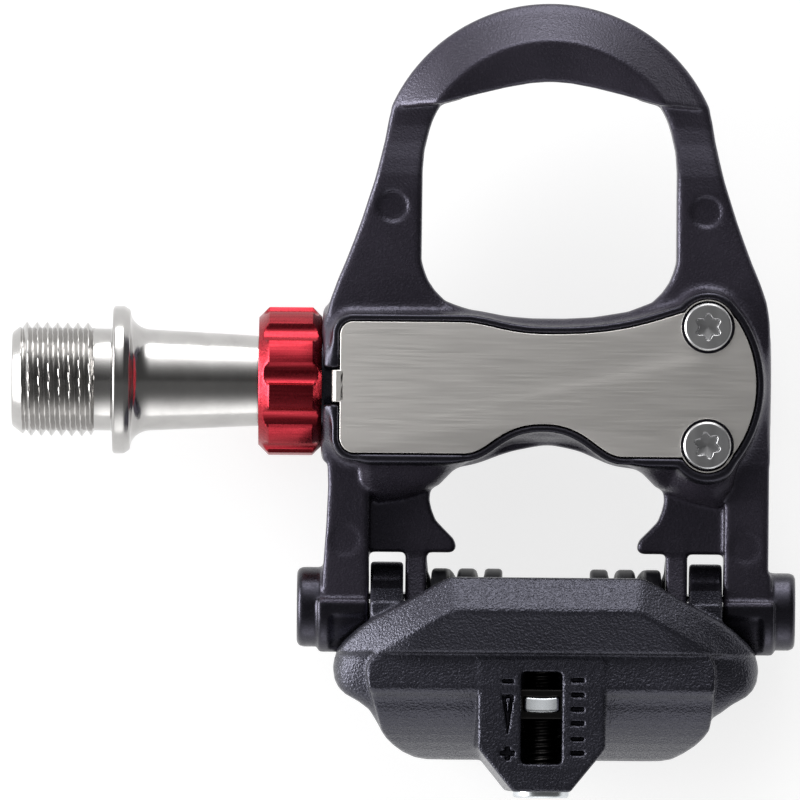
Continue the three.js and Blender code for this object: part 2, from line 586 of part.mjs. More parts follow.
function tensionWasher() {
  const washer = piece("tension_screw_washer", ring(-49.15, -48.65, 2.6, 3.5, "y", SMALL_ROUND), materials.steel);
  washer.position.set(SCREW_X, 0, SCREW_Z);
  return washer;
}

// The nut rides on the spring's loop, and its tab shows in the window.
function tensionNut() {
  const half = NUT_LENGTH / 2;
  const block = box(-NUT_HALF, NUT_HALF, -half, half, 3.7, 9.9);
  const tab = box(-2.25, 2.25, -1.0, 1.0, 9.8, 11.7);
  const bore = rod(-3, 3, SCREW_R + GAP, "y", SMALL_ROUND).translate([0, 0, SCREW_Z]);
  const nut = piece("tension_nut", cut(joined(block, tab), bore), materials.zinc);
  nut.position.set(SCREW_X, NUT_Y, 0);
  return nut;
}

// ---- The assembly ----
const pedal = new THREE.Group();

const spindleGroup = new THREE.Group();
spindleGroup.add(spindle(), spindleNut());

const bearingGroup = new THREE.Group();
for (let i = 0; i < BEARING_COUNT; i += 1) bearingGroup.add(innerRace(i), ballCage(i), outerRace(i));

const axleParts = new THREE.Group();
axleParts.add(lockCollar(), axleSeal(), axleBush(), spacerSleeve());

const bodyGroup = new THREE.Group();
bodyGroup.position.x = CENTRE_X;
bodyGroup.add(pedalBody(), platformPlate(), ...PLATE_SCREWS.map(plateScrew), hingePin(), torsionSpring());

const clipGroup = new THREE.Group();
clipGroup.add(clipJaw(), hingeBush("inboard", -1), hingeBush("outboard", 1), tensionScrew(), tensionWasher(),
  tensionNut());
bodyGroup.add(clipGroup);

pedal.add(spindleGroup, bearingGroup, axleParts, bodyGroup);

export default pedal;
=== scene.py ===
import math

import bmesh
import bpy
import numpy as np
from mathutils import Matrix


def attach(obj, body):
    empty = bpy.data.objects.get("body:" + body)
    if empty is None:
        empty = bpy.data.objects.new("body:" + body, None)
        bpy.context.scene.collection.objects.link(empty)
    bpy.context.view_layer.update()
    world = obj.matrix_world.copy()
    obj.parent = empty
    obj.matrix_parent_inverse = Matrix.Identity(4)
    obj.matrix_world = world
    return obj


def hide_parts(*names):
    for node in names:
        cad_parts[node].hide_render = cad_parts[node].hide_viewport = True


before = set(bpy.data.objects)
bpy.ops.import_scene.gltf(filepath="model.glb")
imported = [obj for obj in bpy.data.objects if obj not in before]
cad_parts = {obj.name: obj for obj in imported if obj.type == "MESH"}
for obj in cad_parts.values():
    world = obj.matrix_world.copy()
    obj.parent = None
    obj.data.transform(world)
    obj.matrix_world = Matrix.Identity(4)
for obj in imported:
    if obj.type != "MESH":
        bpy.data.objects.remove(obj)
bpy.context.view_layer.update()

import openvdb
from mathutils import Matrix, Vector

# ---------------------------------------------------------------- sizes, in millimetres
# Pieces on the pedal body are measured from the pedal's middle, the rest from the crank face.
MM = 0.001
CENTRE_X = 54.5
HINGE_Y, HINGE_Z = -28.25, -1.0
NOSE_Y = 25.7
SCREW_X = -0.5
RIM_TOP = 9.3
PLATE_TOP = 9.45
SCREW_Z = 6.9
NUT_Y = -40.5
FLOOR_Z = -9.7
FLOOR_REACH = 3000.0
SCREW_HOLE_R = 3.32
PLATE_SCREWS = {"plate_screw_front": (19.9, 7.2), "plate_screw_rear": (19.9, -7.6)}


# ---------------------------------------------------------------- making meshes
def new_object(name, verts, faces, material, offset=(0, 0, 0)):
    """A mesh object from millimetres, moved by offset millimetres."""
    mesh = bpy.data.meshes.new(name)
    verts = (np.asarray(verts, dtype=np.float64) + np.asarray(offset)) * MM
    if isinstance(faces, np.ndarray):
        mesh.vertices.add(len(verts))
        mesh.vertices.foreach_set("co", verts.ravel())
        sides = faces.shape[1]
        mesh.loops.add(faces.size)
        mesh.loops.foreach_set("vertex_index", faces.ravel())
        mesh.polygons.add(len(faces))
        mesh.polygons.foreach_set("loop_start", np.arange(len(faces)) * sides)
        mesh.update(calc_edges=True)
    else:
        mesh.from_pydata([tuple(v) for v in verts], [], [tuple(f) for f in faces])
    mesh.validate()
    mesh.polygons.foreach_set("use_smooth", [True] * len(mesh.polygons))
    mesh.materials.append(material)
    obj = bpy.data.objects.new(name, mesh)
    bpy.context.scene.collection.objects.link(obj)
    return obj


def sharpen(obj, degrees):
    obj.data.set_sharp_from_angle(angle=math.radians(degrees))


def face_middles(obj):
    """Face centres in millimetres from the pedal's middle."""
    middles = np.empty(len(obj.data.polygons) * 3, dtype=np.float32)
    obj.data.polygons.foreach_get("center", middles)
    return (middles.reshape(-1, 3) / MM - (CENTRE_X, 0, 0)).T


def second_material(obj, material, where):
    obj.data.materials.append(material)
    obj.data.polygons.foreach_set("material_index", where.astype(np.int32))


def place(obj, body, replaced):
    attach(obj, body)
    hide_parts(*replaced)
    return obj


# ---------------------------------------------------------------- solids as signed distances
def outline_distance(points, u, v):
    """Signed distance to a closed outline, negative inside; u and v broadcast to a plane of samples."""
    best = None
    sign = None
    count = len(points)
    for i in range(count):
        ax, ay = points[i - 1]
        bx, by = points[i]
        ex, ey = bx - ax, by - ay
        wx, wy = u - ax, v - ay
        t = np.clip((wx * ex + wy * ey) / max(ex * ex + ey * ey, 1e-12), 0, 1)
        d = (wx - ex * t) ** 2 + (wy - ey * t) ** 2
        best = d if best is None else np.minimum(best, d)
        low, high, left = v >= ay, v < by, ex * wy > ey * wx
        crossing = (low & high & left) | (~low & ~high & ~left)
        sign = crossing if sign is None else sign ^ crossing
    root = np.sqrt(best)
    return np.where(sign, -root, root).astype(np.float32)


def join(a, b, r=0.0):
    """Union with a concave fillet of radius r."""
    if r <= 0:
        return np.minimum(a, b)
    return np.maximum(r, np.minimum(a, b)) - np.hypot(np.maximum(r - a, 0), np.maximum(r - b, 0))


def meet(a, b, r=0.0):
    """Intersection with its edge rounded to radius r."""
    if r <= 0:
        return np.maximum(a, b)
    return np.minimum(-r, np.maximum(a, b)) + np.hypot(np.maximum(r + a, 0), np.maximum(r + b, 0))


class Clay:
    """A moulded solid, kept as signed distances on a grid."""

    def __init__(self, low, high, step):
        self.step = step
        self.low = np.array(low, dtype=np.float64)
        counts = [int(math.ceil((b - a) / step)) + 1 for a, b in zip(low, high)]
        self.axes = [(a + step * np.arange(n)).astype(np.float32) for a, n in zip(low, counts)]
        self.field = np.full(counts, 20.0, dtype=np.float32)

    def region(self, low, high, margin):
        cuts = []
        for axis, a, b in zip(self.axes, low, high):
            first = int(np.searchsorted(axis, a - margin))
            last = int(np.searchsorted(axis, b + margin))
            cuts.append(slice(max(0, first), max(0, last)))
        x, y, z = (axis[cut] for axis, cut in zip(self.axes, cuts))
        return tuple(cuts), x[:, None, None], y[None, :, None], z[None, None, :]

    def add(self, shape, low, high, r=0.0):
        cuts, x, y, z = self.region(low, high, r + 4 * self.step)
        self.field[cuts] = join(self.field[cuts], shape(x, y, z), r)

    def cut(self, shape, low, high, r=0.0):
        cuts, x, y, z = self.region(low, high, r + 4 * self.step)
        self.field[cuts] = meet(self.field[cuts], -shape(x, y, z), r)

    def soften(self):
        """One light blur, which takes the grid's steps off slanting edges."""
        for axis in range(3):
            f = np.moveaxis(self.field, axis, 0)
            f[1:-1] = 0.25 * f[:-2] + 0.5 * f[1:-1] + 0.25 * f[2:]

    def mesh(self):
        width = 4 * self.step
        grid = openvdb.FloatGrid(width)
        grid.copyFromArray(np.clip(self.field, -width, width))
        points, quads = grid.convertToQuads(isovalue=0.0)
        return points.astype(np.float64) * self.step + self.low, quads.astype(np.int32)


def mirrored(half):
    """A full outline from its right half, listed from the front to the back."""
    return list(half) + [(-x, y) for x, y in reversed(half)]


def arc(cx, cy, r, start, end, count):
    """Points on an arc, angles in degrees."""
    angles = np.radians(np.linspace(start, end, count))
    return [(cx + r * math.cos(a), cy + r * math.sin(a)) for a in angles]


def bezier(p0, p1, p2, p3, count):
    points = []
    for t in np.linspace(0, 1, count):
        s = 1 - t
        points.append(tuple(s ** 3 * a + 3 * s * s * t * b + 3 * s * t * t * c + t ** 3 * d
                            for a, b, c, d in zip(p0, p1, p2, p3)))
    return points


def side_rod(x0, x1, y, z, r, edge=0.3):
    """A rod along X on both sides of the pedal's middle."""
    def shape(xs, ys, zs):
        across = np.hypot(ys - y, zs - z) - r
        along = np.abs(np.abs(xs) - (x0 + x1) / 2) - (x1 - x0) / 2
        return meet(across, along, edge)
    return shape


def block(low, high, edge=0.3):
    def shape(xs, ys, zs):
        dx = np.maximum(low[0] - xs, xs - high[0])
        dy = np.maximum(low[1] - ys, ys - high[1])
        dz = np.maximum(low[2] - zs, zs - high[2])
        return meet(meet(dx, dy, edge), dz, edge)
    return shape


def ramp(values, places, at):
    """Height along a profile of straight runs."""
    return np.interp(at, places, values).astype(np.float32)


# ---------------------------------------------------------------- the steel plate's outline
def plate_outline(steps=14):
    points = [(-26.0, 6.0), (-26.0, -7.2)]
    points += arc(-24.2, -7.1, 1.75, 184, 268, steps)
    points += [(-12.0, -8.85)]
    points += bezier((-10.6, -8.85), (-7.2, -8.85), (-6.4, -5.1), (-0.6, -5.1), 2 * steps)
    points += bezier((-0.4, -5.1), (5.0, -5.1), (6.4, -9.1), (9.4, -9.1), 2 * steps)
    points += [(16.6, -9.1)]
    points += arc(19.9, -7.6, 3.35, 207, 309, steps)
    points += arc(11.35, -0.1, 14.6, -34.4, 34.4, 2 * steps)
    points += arc(19.9, 7.2, 3.35, 50.4, 147.6, steps)
    points += bezier((17.0, 9.0), (12.5, 7.6), (9.0, 6.1), (0.2, 6.1), 2 * steps)
    points += bezier((0.0, 6.1), (-6.0, 6.1), (-7.2, 7.5), (-11.2, 7.5), 2 * steps)
    points += arc(-24.4, 5.9, 1.6, 90, 176, steps)
    kept = [points[0]]
    for p in points[1:]:
        if math.dist(p, kept[-1]) > 0.08:
            kept.append(p)
    return kept


def grown(points, d):
    """Each point of a counter-clockwise outline moved outwards by d."""
    moved = []
    for i, p in enumerate(points):
        before, after = points[i - 1], points[(i + 1) % len(points)]
        a = Vector((p[1] - before[1], before[0] - p[0])).normalized()
        b = Vector((after[1] - p[1], p[0] - after[0])).normalized()
        middle = (a + b).normalized()
        reach = d / max(0.5, middle.dot(a))
        moved.append((p[0] + middle.x * reach, p[1] + middle.y * reach))
    return moved


PLATE = plate_outline()


# ---------------------------------------------------------------- materials
def math_node(tree, operation, a, b):
    """A Math node of two values, each a number or another node's output."""
    node = tree.nodes.new("ShaderNodeMath")
    node.operation = operation
    for value, socket in zip((a, b), node.inputs):
        if hasattr(value, "node"):
            tree.links.new(value, socket)
        else:
            socket.default_value = value
    return node.outputs[0]


class Nodes:
    """A short way to write a material's node tree."""

    def __init__(self, name):
        self.material = bpy.data.materials.new(name)
        self.material.use_nodes = True
        self.tree = self.material.node_tree
        self.shader = self.tree.nodes["Principled BSDF"]

    def add(self, kind, **values):
        node = self.tree.nodes.new(kind)
        for key, value in values.items():
            if key in node.inputs:
                if hasattr(value, "node"):
                    self.tree.links.new(value, node.inputs[key])
                else:
                    node.inputs[key].default_value = value
            else:
                setattr(node, key, value)
        return node

    def link(self, output, target):
        self.tree.links.new(output, target)

    def place(self, stretch):
        coordinates = self.add("ShaderNodeTexCoord")
        mapping = self.add("ShaderNodeMapping")
        mapping.inputs["Scale"].default_value = stretch
        self.link(coordinates.outputs["Object"], mapping.inputs["Vector"])
        return mapping.outputs["Vector"]

    def noise(self, scale, detail=3.0, rough=0.5, stretch=(1, 1, 1)):
        node = self.add("ShaderNodeTexNoise", Scale=scale, Detail=detail, Roughness=rough)
        self.link(self.place(stretch), node.inputs["Vector"])
        return node.outputs["Fac"]

    def remap(self, value, low, high, to_low, to_high):
        node = self.add("ShaderNodeMapRange")
        self.link(value, node.inputs["Value"])
        for key, number in (("From Min", low), ("From Max", high), ("To Min", to_low), ("To Max", to_high)):
            node.inputs[key].default_value = number
        return node.outputs["Result"]

    def mix(self, share, a, b):
        node = self.add("ShaderNodeMix", data_type="RGBA")
        for value, socket in ((share, node.inputs[0]), (a, node.inputs[6]), (b, node.inputs[7])):
            if hasattr(value, "node"):
                self.link(value, socket)
            else:
                socket.default_value = value
        return node.outputs[2]

    def math(self, operation, a, b):
        return math_node(self.tree, operation, a, b)

    def bump(self, height, distance):
        node = self.add("ShaderNodeBump", Strength=1.0, Distance=distance)
        self.link(height, node.inputs["Height"])
        return node.outputs["Normal"]

    def finish(self, color=None, rough=None, metal=0.0, normal=None, **rest):
        for value, key in ((color, "Base Color"), (rough, "Roughness"), (normal, "Normal")):
            if value is None:
                continue
            if hasattr(value, "node"):
                self.link(value, self.shader.inputs[key])
            else:
                self.shader.inputs[key].default_value = value
        self.shader.inputs["Metallic"].default_value = metal
        for key, value in rest.items():
            self.shader.inputs[key.replace("_", " ")].default_value = value
        return self.material


def moulded_plastic(name, dark, light, speck, rough, grain, grain_depth, tint=(0.80, 0.77, 1.0, 1)):
    """Spark-eroded black plastic: fine pits with shiny crests, faint mottling, sharp edges painted a little
    paler as a painted highlight.
    """
    n = Nodes(name)
    fine = n.noise(grain, detail=1.5, rough=0.6)
    coarse = n.noise(130.0, detail=4.0)
    crests = n.remap(fine, 0.56, 0.70, 0.0, 1.0)
    mottled = n.mix(n.remap(coarse, 0.3, 0.7, 0.0, 1.0), dark, light)
    sharp_edges = n.add("ShaderNodeNewGeometry").outputs["Pointiness"]
    # Painted highlight: sharp edges get up to half of the paler speck colour.
    edge = n.remap(sharp_edges, 0.53, 0.62, 0.0, 0.5)
    color = n.mix(edge, n.mix(crests, mottled, speck), speck)
    roughness = n.math("ADD", n.remap(fine, 0.3, 0.7, rough + 0.08, rough - 0.08),
                       n.remap(coarse, 0.3, 0.7, -0.03, 0.03))
    return n.finish(color, roughness, normal=n.bump(fine, grain_depth),
                    Specular_IOR_Level=0.6, Specular_Tint=tint)


def satin_steel(name, color, rough, depth=0.000004, cloud=0.05):
    """Turned steel: fine lines round X, clouded roughness."""
    n = Nodes(name)
    lines = n.noise(900.0, detail=2.0, stretch=(1, 0.02, 0.02))
    clouds = n.noise(220.0, detail=5.0, rough=0.6)
    grit = n.noise(5200.0, detail=1.0)
    tone = n.mix(n.remap(clouds, 0.3, 0.7, 0.0, 1.0), color, tuple(c * 0.82 for c in color[:3]) + (1,))
    roughness = n.math("ADD", n.remap(clouds, 0.3, 0.7, rough - cloud, rough + cloud),
                       n.remap(lines, 0.3, 0.7, -0.04, 0.04))
    height = n.math("ADD", lines, n.math("MULTIPLY", grit, 0.5))
    return n.finish(tone, roughness, metal=1.0, normal=n.bump(height, depth))


def anodised_red():
    n = Nodes("anodised_red")
    lines = n.noise(2600.0, detail=2.0, stretch=(0.04, 1, 1))
    grit = n.noise(3800.0, detail=2.0)
    tone = n.mix(n.remap(lines, 0.3, 0.7, 0.0, 1.0), (0.38, 0.030, 0.042, 1), (0.24, 0.014, 0.022, 1))
    roughness = n.remap(grit, 0.3, 0.7, 0.22, 0.36)
    height = n.math("ADD", lines, n.math("MULTIPLY", grit, 0.4))
    return n.finish(tone, roughness, metal=1.0, normal=n.bump(height, 0.000009))


def brushed_plate():
    """Cold-rolled stainless sheet: brushed along X, clouded, finely scratched."""
    n = Nodes("plate_steel")
    lines = n.noise(5200.0, detail=2.0, stretch=(0.025, 1, 1))
    clouds = n.noise(85.0, detail=4.0, rough=0.6, stretch=(0.6, 1, 1))
    grit = n.noise(4200.0, detail=1.0)
    tone = n.mix(n.remap(clouds, 0.32, 0.68, 0.0, 1.0), (0.82, 0.795, 0.765, 1), (0.765, 0.74, 0.715, 1))
    roughness = n.math("ADD", n.remap(clouds, 0.3, 0.7, 0.467, 0.483), n.remap(lines, 0.3, 0.7, -0.04, 0.04))
    height = n.math("ADD", lines, n.math("MULTIPLY", grit, 0.35))
    return n.finish(tone, roughness, metal=1.0, normal=n.bump(height, 0.000005))


MAT = {
    "body": moulded_plastic("body_plastic", (0.0150, 0.0130, 0.0184, 1), (0.0250, 0.0216, 0.0300, 1),
                            (0.034, 0.031, 0.041, 1), 0.31, 3400.0, 0.00006),
    "clip": moulded_plastic("clip_plastic", (0.0100, 0.0100, 0.0135, 1), (0.0160, 0.0160, 0.0215, 1),
                            (0.030, 0.030, 0.038, 1), 0.25, 3500.0, 0.00014,
                            tint=(0.80, 0.80, 1.0, 1)),
    # Near-black smooth plastic: the smooth finish of the rim, bosses and knuckles, and painted shade in the
    # jaw's pocket and on the collar's shank.
    "smooth_and_shade": moulded_plastic("smooth_plastic_and_painted_shade", (0.0014, 0.0013, 0.0018, 1), (0.0030, 0.0028, 0.0038, 1),
                              (0.008, 0.008, 0.010, 1), 0.30, 2600.0, 0.00001),
    "spindle": satin_steel("spindle_steel", (0.52, 0.51, 0.50, 1), 0.17, depth=0.000007, cloud=0.03),
    "plate": brushed_plate(),
    "screw": satin_steel("screw_steel", (0.60, 0.60, 0.61, 1), 0.36, cloud=0.05),
    "red": anodised_red(),
    "bearing": satin_steel("bearing_steel", (0.60, 0.60, 0.61, 1), 0.2, cloud=0.03),
    "zinc": satin_steel("bright_zinc", (0.76, 0.79, 0.82, 1), 0.26, cloud=0.08),
    # Near-black steel as painted shade on the tension screw's thread and the nut's block, down in the jaw's
    # pocket.
    "painted_shade_steel": satin_steel("steel_darkened_as_painted_shade", (0.045, 0.043, 0.042, 1), 0.3, cloud=0.05),
}


def black_spring():
    n = Nodes("spring_black")
    mottle = n.noise(700.0, detail=4.0)
    tone = n.mix(n.remap(mottle, 0.35, 0.65, 0.0, 1.0), (0.006, 0.006, 0.008, 1), (0.016, 0.016, 0.019, 1))
    return n.finish(tone, n.remap(mottle, 0.3, 0.7, 0.3, 0.42), normal=n.bump(mottle, 0.00001),
                    Specular_IOR_Level=0.25)


def plain_polymer(name, a, b, rough):
    n = Nodes(name)
    lines = n.noise(1500.0, detail=2.0, stretch=(1, 0.05, 0.05))
    tone = n.mix(n.remap(lines, 0.3, 0.7, 0.0, 1.0), a, b)
    roughness = n.remap(lines, 0.3, 0.7, rough - 0.06, rough + 0.06)
    return n.finish(tone, roughness, normal=n.bump(lines, 0.00001))


MAT["spring"] = black_spring()
MAT["bush"] = plain_polymer("bush_plastic", (0.05, 0.05, 0.047, 1), (0.08, 0.08, 0.074, 1), 0.5)
MAT["rubber"] = plain_polymer("seal_rubber", (0.012, 0.012, 0.012, 1), (0.022, 0.022, 0.022, 1), 0.75)

# ---------------------------------------------------------------- camera and light
camera_data = bpy.data.cameras.new("camera")
camera_data.lens = 1000.0
camera_data.sensor_width = 36.0
camera_data.clip_end = 20.0
camera = bpy.data.objects.new("camera", camera_data)
bpy.context.scene.collection.objects.link(camera)
bpy.context.scene.camera = camera
FRAME_WIDTH = 0.100
LOOK_AT = Vector((0.0360, -0.00225, 0.006))
distance = FRAME_WIDTH * camera_data.lens / camera_data.sensor_width
camera.location = LOOK_AT + Vector((0, 0, distance))
camera.rotation_euler = (0, 0, math.radians(0.5))


def area_light(name, place_at, aim, width, height, power):
    light = bpy.data.lights.new(name, "AREA")
    light.shape = "RECTANGLE"
    light.size, light.size_y, light.energy = width, height, power
    obj = bpy.data.objects.new(name, light)
    bpy.context.scene.collection.objects.link(obj)
    obj.location = place_at
    obj.rotation_euler = (Vector(aim) - Vector(place_at)).to_track_quat("-Z", "Y").to_euler()
    obj.visible_camera = False


MIDDLE = (0.045, 0.0, 0.0)
area_light("front_box", (0.0, 0.42, 0.20), MIDDLE, 0.5, 0.2, 0.35)
area_light("left_box", (-0.42, 0.05, 0.10), MIDDLE, 0.4, 0.2, 2.0)

# A light tent: bright towards the pedal's front and the crank, dark overhead where the camera looks in.
world = bpy.data.worlds.new("studio")
bpy.context.scene.world = world
world.use_nodes = True
tree = world.node_tree
sky = tree.nodes["Background"]
coordinates = tree.nodes.new("ShaderNodeTexCoord")
split = tree.nodes.new("ShaderNodeSeparateXYZ")
tree.links.new(coordinates.outputs["Generated"], split.inputs["Vector"])


def sky_math(operation, a, b):
    return math_node(tree, operation, a, b)


def towards(axis, sign, power, level):
    """A lobe of light centred on the horizon."""
    facing = sky_math("MAXIMUM", sky_math("MULTIPLY", split.outputs[axis], sign), 0.0)
    return sky_math("MULTIPLY", sky_math("POWER", facing, power), level)


overhead = tree.nodes.new("ShaderNodeMapRange")
overhead.interpolation_type = "SMOOTHSTEP"
tree.links.new(split.outputs["Y"], overhead.inputs["Value"])
for key, number in (("From Min", 0.04), ("From Max", -0.12), ("To Min", 0.075), ("To Max", 0.15)):
    overhead.inputs[key].default_value = number
glow = overhead.outputs["Result"]
sideways = sky_math("MULTIPLY", split.outputs["X"], split.outputs["X"])
narrow = sky_math("POWER", sky_math("SUBTRACT", 1.0, sideways), 5.5)
front = sky_math("ADD", towards("Y", 1.0, 5.0, 5.6), towards("Y", 1.0, 1.6, 0.75))
glow = sky_math("ADD", glow, sky_math("MULTIPLY", front, narrow))
glow = sky_math("ADD", glow, towards("Y", -1.0, 6.0, 2.2))
glow = sky_math("ADD", glow, towards("X", -1.0, 8.0, 8.5))
tree.links.new(glow, sky.inputs["Strength"])
sky.inputs["Color"].default_value = (1.0, 1.0, 1.0, 1)
bpy.context.scene.view_settings.view_transform = "Standard"

floor_nodes = Nodes("floor_pale")
floor_tone = floor_nodes.mix(floor_nodes.noise(6.0), (0.34, 0.34, 0.34, 1), (0.36, 0.36, 0.36, 1))
floor_nodes.finish(floor_tone, 0.9, Specular_IOR_Level=0.1, Emission_Color=(1, 1, 1, 1),
                   Emission_Strength=0.78)
corner_signs = ((-1, -1), (1, -1), (1, 1), (-1, 1))
floor_corners = [(sx * FLOOR_REACH, sy * FLOOR_REACH, FLOOR_Z) for sx, sy in corner_signs]
floor = new_object("floor", floor_corners, [(0, 1, 2, 3)], floor_nodes.material)


# ---------------------------------------------------------------- pedal body
# Profiles and half widths of the arms: values, then their places from the rear to the front.
ARM_TOP = ([3.9, 6.2, 6.1, 5.6, 5.7, 6.3, 7.3, 8.5, 9.4, 9.8, 9.9, 9.9],
           [-10, -3, 9, 21, 24, 26, 28, 30, 32, 34, 36, 50])
ARM_BOTTOM = ([-4.5, -4.5, -2.2, 1.6, 3.2, 3.4], [-10, 12, 24, 34, 44, 50])
OUTER_HALF = [(19.85, 34.2), (20.2, 32.75), (20.65, 30.25), (21.25, 27.75), (21.9, 25.25), (22.7, 22.75),
              (23.5, 20.25), (24.4, 17.75), (25.35, 15.25), (26.4, 12.75), (27.3, 10.25), (27.9, 7.75),
              (28.1, 5.25), (28.1, -10.0), (21.0, -10.0), (17.0, -6.5)]
INNER_HALF = [(13.6, 34.75), (14.1, 34.0), (14.7, 32.75), (15.1, 31.5), (15.4, 30.25), (15.7, 29.0),
              (15.9, 26.5), (15.95, 15.25), (15.6, 14.0), (15.1, 12.75), (14.25, 11.5), (13.0, 10.25),
              (9.9, 9.0), (5.5, 8.25), (2.0, 8.0)]
HOOK_EDGE = [(30.0, 33.2), (19.7, 34.2), (13.6, 34.75), (9.0, 36.0), (5.5, 36.85), (2.5, 37.4), (0.6, 37.55)]
REAR_HALF = [(0.5, -7.7), (4.2, -8.5), (8.6, -9.75), (13.3, -11.0), (14.2, -12.25), (14.6, -13.5),
             (14.7, -14.75), (14.4, -16.0), (13.9, -17.25), (12.7, -18.5), (11.6, -19.6), (11.3, -20.5),
             (11.6, -21.4), (11.6, -30)]
REAR_ARM_HALF = ([28.3, 28.0, 27.6, 27.4, 27.6], [-34, -24, -18, -13, -8])


def sloped(heights, places, along, up, below=True):
    """Distance to a surface whose height follows a profile."""
    height = ramp(heights, places, along)
    slope = np.gradient(height.ravel(), along.ravel()).reshape(height.shape)
    gap = (up - height) / np.sqrt(1 + slope ** 2)
    return gap if below else -gap


def build_body():
    clay = Clay((-32.5, -34.6, -10.3), (32.5, 48.2, 15.4), 0.27)
    nose = arc(0, NOSE_Y, 21.6, 157.4, 22.6, 64)

    def ring(x, y, z):
        outer = outline_distance(nose + mirrored(OUTER_HALF), x, y)
        inner = outline_distance(mirrored(INNER_HALF) + arc(0, NOSE_Y, 16.6, 147, 33, 24), x, y)
        plan = meet(outer, -inner, 0.3)
        top = sloped(*ARM_TOP, y, z)
        bottom = sloped(*ARM_BOTTOM, y, z, below=False)
        return meet(meet(plan, top, 0.7), bottom, 0.8)

    clay.add(ring, (-28.2, -10.4, -5), (28.2, 47.6, 10))

    def hook(x, y, z):
        radius = np.hypot(x, y - NOSE_Y)
        section = [(21.6, 9.4), (21.6, 4.6), (20.6, 3.0), (14.6, 2.6), (14.6, 6.2), (17.0, 6.2), (17.0, 11.2),
                   (8.0, 11.2), (8.0, 12.5), (12.0, 13.1), (16.95, 14.0)]
        body = outline_distance(section, radius, z)
        edge = outline_distance(mirrored(HOOK_EDGE) + [(-30, 60), (30, 60)], x, y)
        return meet(body, edge, 0.25)

    clay.add(hook, (-22, 33.0, 2), (22, 47.8, 14.6), 0.3)

    def tube(x, y, z):
        radius = ramp([9.3, 9.3, 7.6, 7.5, 6.9, 5.6], [-28, -17, -9, 24, 27.0, 28.1], x)
        across = np.hypot(y, z) - radius
        return meet(across, np.abs(x) - 28.1, 0.5)

    clay.add(tube, (-28.1, -9.5, -9.5), (28.1, 9.5, 9.5), 0.9)

    def deck(x, y, z):
        plan = outline_distance(PLATE, x, y) - 1.05
        return meet(meet(plan, z - RIM_TOP, 0.35), -1 - z)

    def apron(x, y, z):
        spread = 0.80
        plan = outline_distance(PLATE, x, y)
        wall = (plan - 1.0 - (RIM_TOP - 0.5 - z) * spread) / math.sqrt(1 + spread ** 2)
        fan = outline_distance([(10.5, -4), (10.8, -10.0), (13.6, -12.9), (18.0, -14.6), (21.6, -15.4),
                                (23.2, -12.6), (23.6, -4)], np.abs(x), y)
        return meet(meet(meet(wall, fan, 1.2), np.abs(x) - 28.0, 0.5), np.maximum(z - 9.0, -3 - z))

    clay.add(apron, (-28.1, -17, -3), (28.1, -3, 9.2), 0.6)

    def arms(x, y, z):
        half = np.where(x > 0, 28.15, ramp(*REAR_ARM_HALF, y))
        across = np.maximum(np.abs(x) - half, 22.2 - np.abs(x))
        profile = [(-4, 4.0), (-28.25, 4.0)] + arc(HINGE_Y, HINGE_Z, 5.0, 90, 270, 40)
        return meet(across, outline_distance(profile + [(-14, -6.0), (-4, -8.5)], y, z), 0.5)

    clay.add(arms, (-28.5, -34, -8.6), (28.5, -4, 4.1), 0.5)

    def claws(x, y, z):
        plan = outline_distance(mirrored(REAR_HALF), x, y)
        reach = np.maximum(np.abs(x) - 23.2, np.maximum(y + 5.5, -21.3 - y))
        sheet = np.maximum(z - 1.6, -3.6 - z)
        return meet(meet(reach, -plan, 0.5), sheet, 0.45)

    clay.add(claws, (-23.3, -21.4, -3.7), (23.3, -5.4, 1.7), 0.5)

    clay.add(deck, (-27.2, -12, -1), (27.2, 12, 9.4), 1.3)

    def ears(x, y, z):
        across = np.abs(np.abs(x) - 16.3) - 1.35
        profile = [(-19.5, 1.4), (-19.5, -3.6), (-24, -4.4)] + arc(HINGE_Y, HINGE_Z, 4.2, 265, 95, 24)
        return meet(across, outline_distance(profile + [(-24, 2.0), (-21.4, 1.4)], y, z), 0.4)

    clay.add(ears, (-17.8, -32.6, -5.3), (17.8, -19, 3.4), 0.4)

    clay.add(side_rod(22.4, 31.2, HINGE_Y, HINGE_Z, 5.0, 0.8), (-31.3, -33.4, -6.1), (31.3, -23.1, 4.1), 0.25)

    def pad(x, y, z):
        angle = np.degrees(np.arctan2(z - HINGE_Z, y - HINGE_Y))
        reach = np.hypot(y - HINGE_Y, z - HINGE_Z)
        turn = np.where(angle < -90, angle + 360, angle)
        around = (np.abs(turn - 126) - 48) * math.radians(1) * 5.4
        along = np.abs(np.abs(x) - 25.4) - 3.2
        outer = meet(meet(reach - 5.75, around, 0.4), along, 0.4)
        panel_around = (np.abs(turn - 128) - 28) * math.radians(1) * 5.4
        panel = np.maximum(np.maximum(panel_around, np.abs(np.abs(x) - 24.6) - 2.35), 5.45 - reach)
        return meet(outer, -panel, 0.15)

    clay.add(pad, (-28.8, -34.2, -7), (28.8, -22, 5), 0.2)

    clay.cut(lambda x, y, z: np.maximum(outline_distance(PLATE, x, y) - 0.14, PLATE_TOP - 0.95 - z),
             (-26.4, -11.5, 8.3), (26.4, 11, 10.5))
    clay.cut(block((-30, -2.85, 6.6), (-25.6, 1.75, 12), 0.5), (-29, -3, 6), (-25.5, 2, 10))

    def bore(x, y, z):
        reach = np.hypot(y, z)
        shell = np.maximum(reach - 7.5, x - (32.9 - CENTRE_X))
        for x1, r in ((63.3, 6.45), (73.1, 5.6), (78.2, 4.9)):
            shell = np.minimum(shell, np.maximum(reach - r, x - (x1 - CENTRE_X)))
        return shell

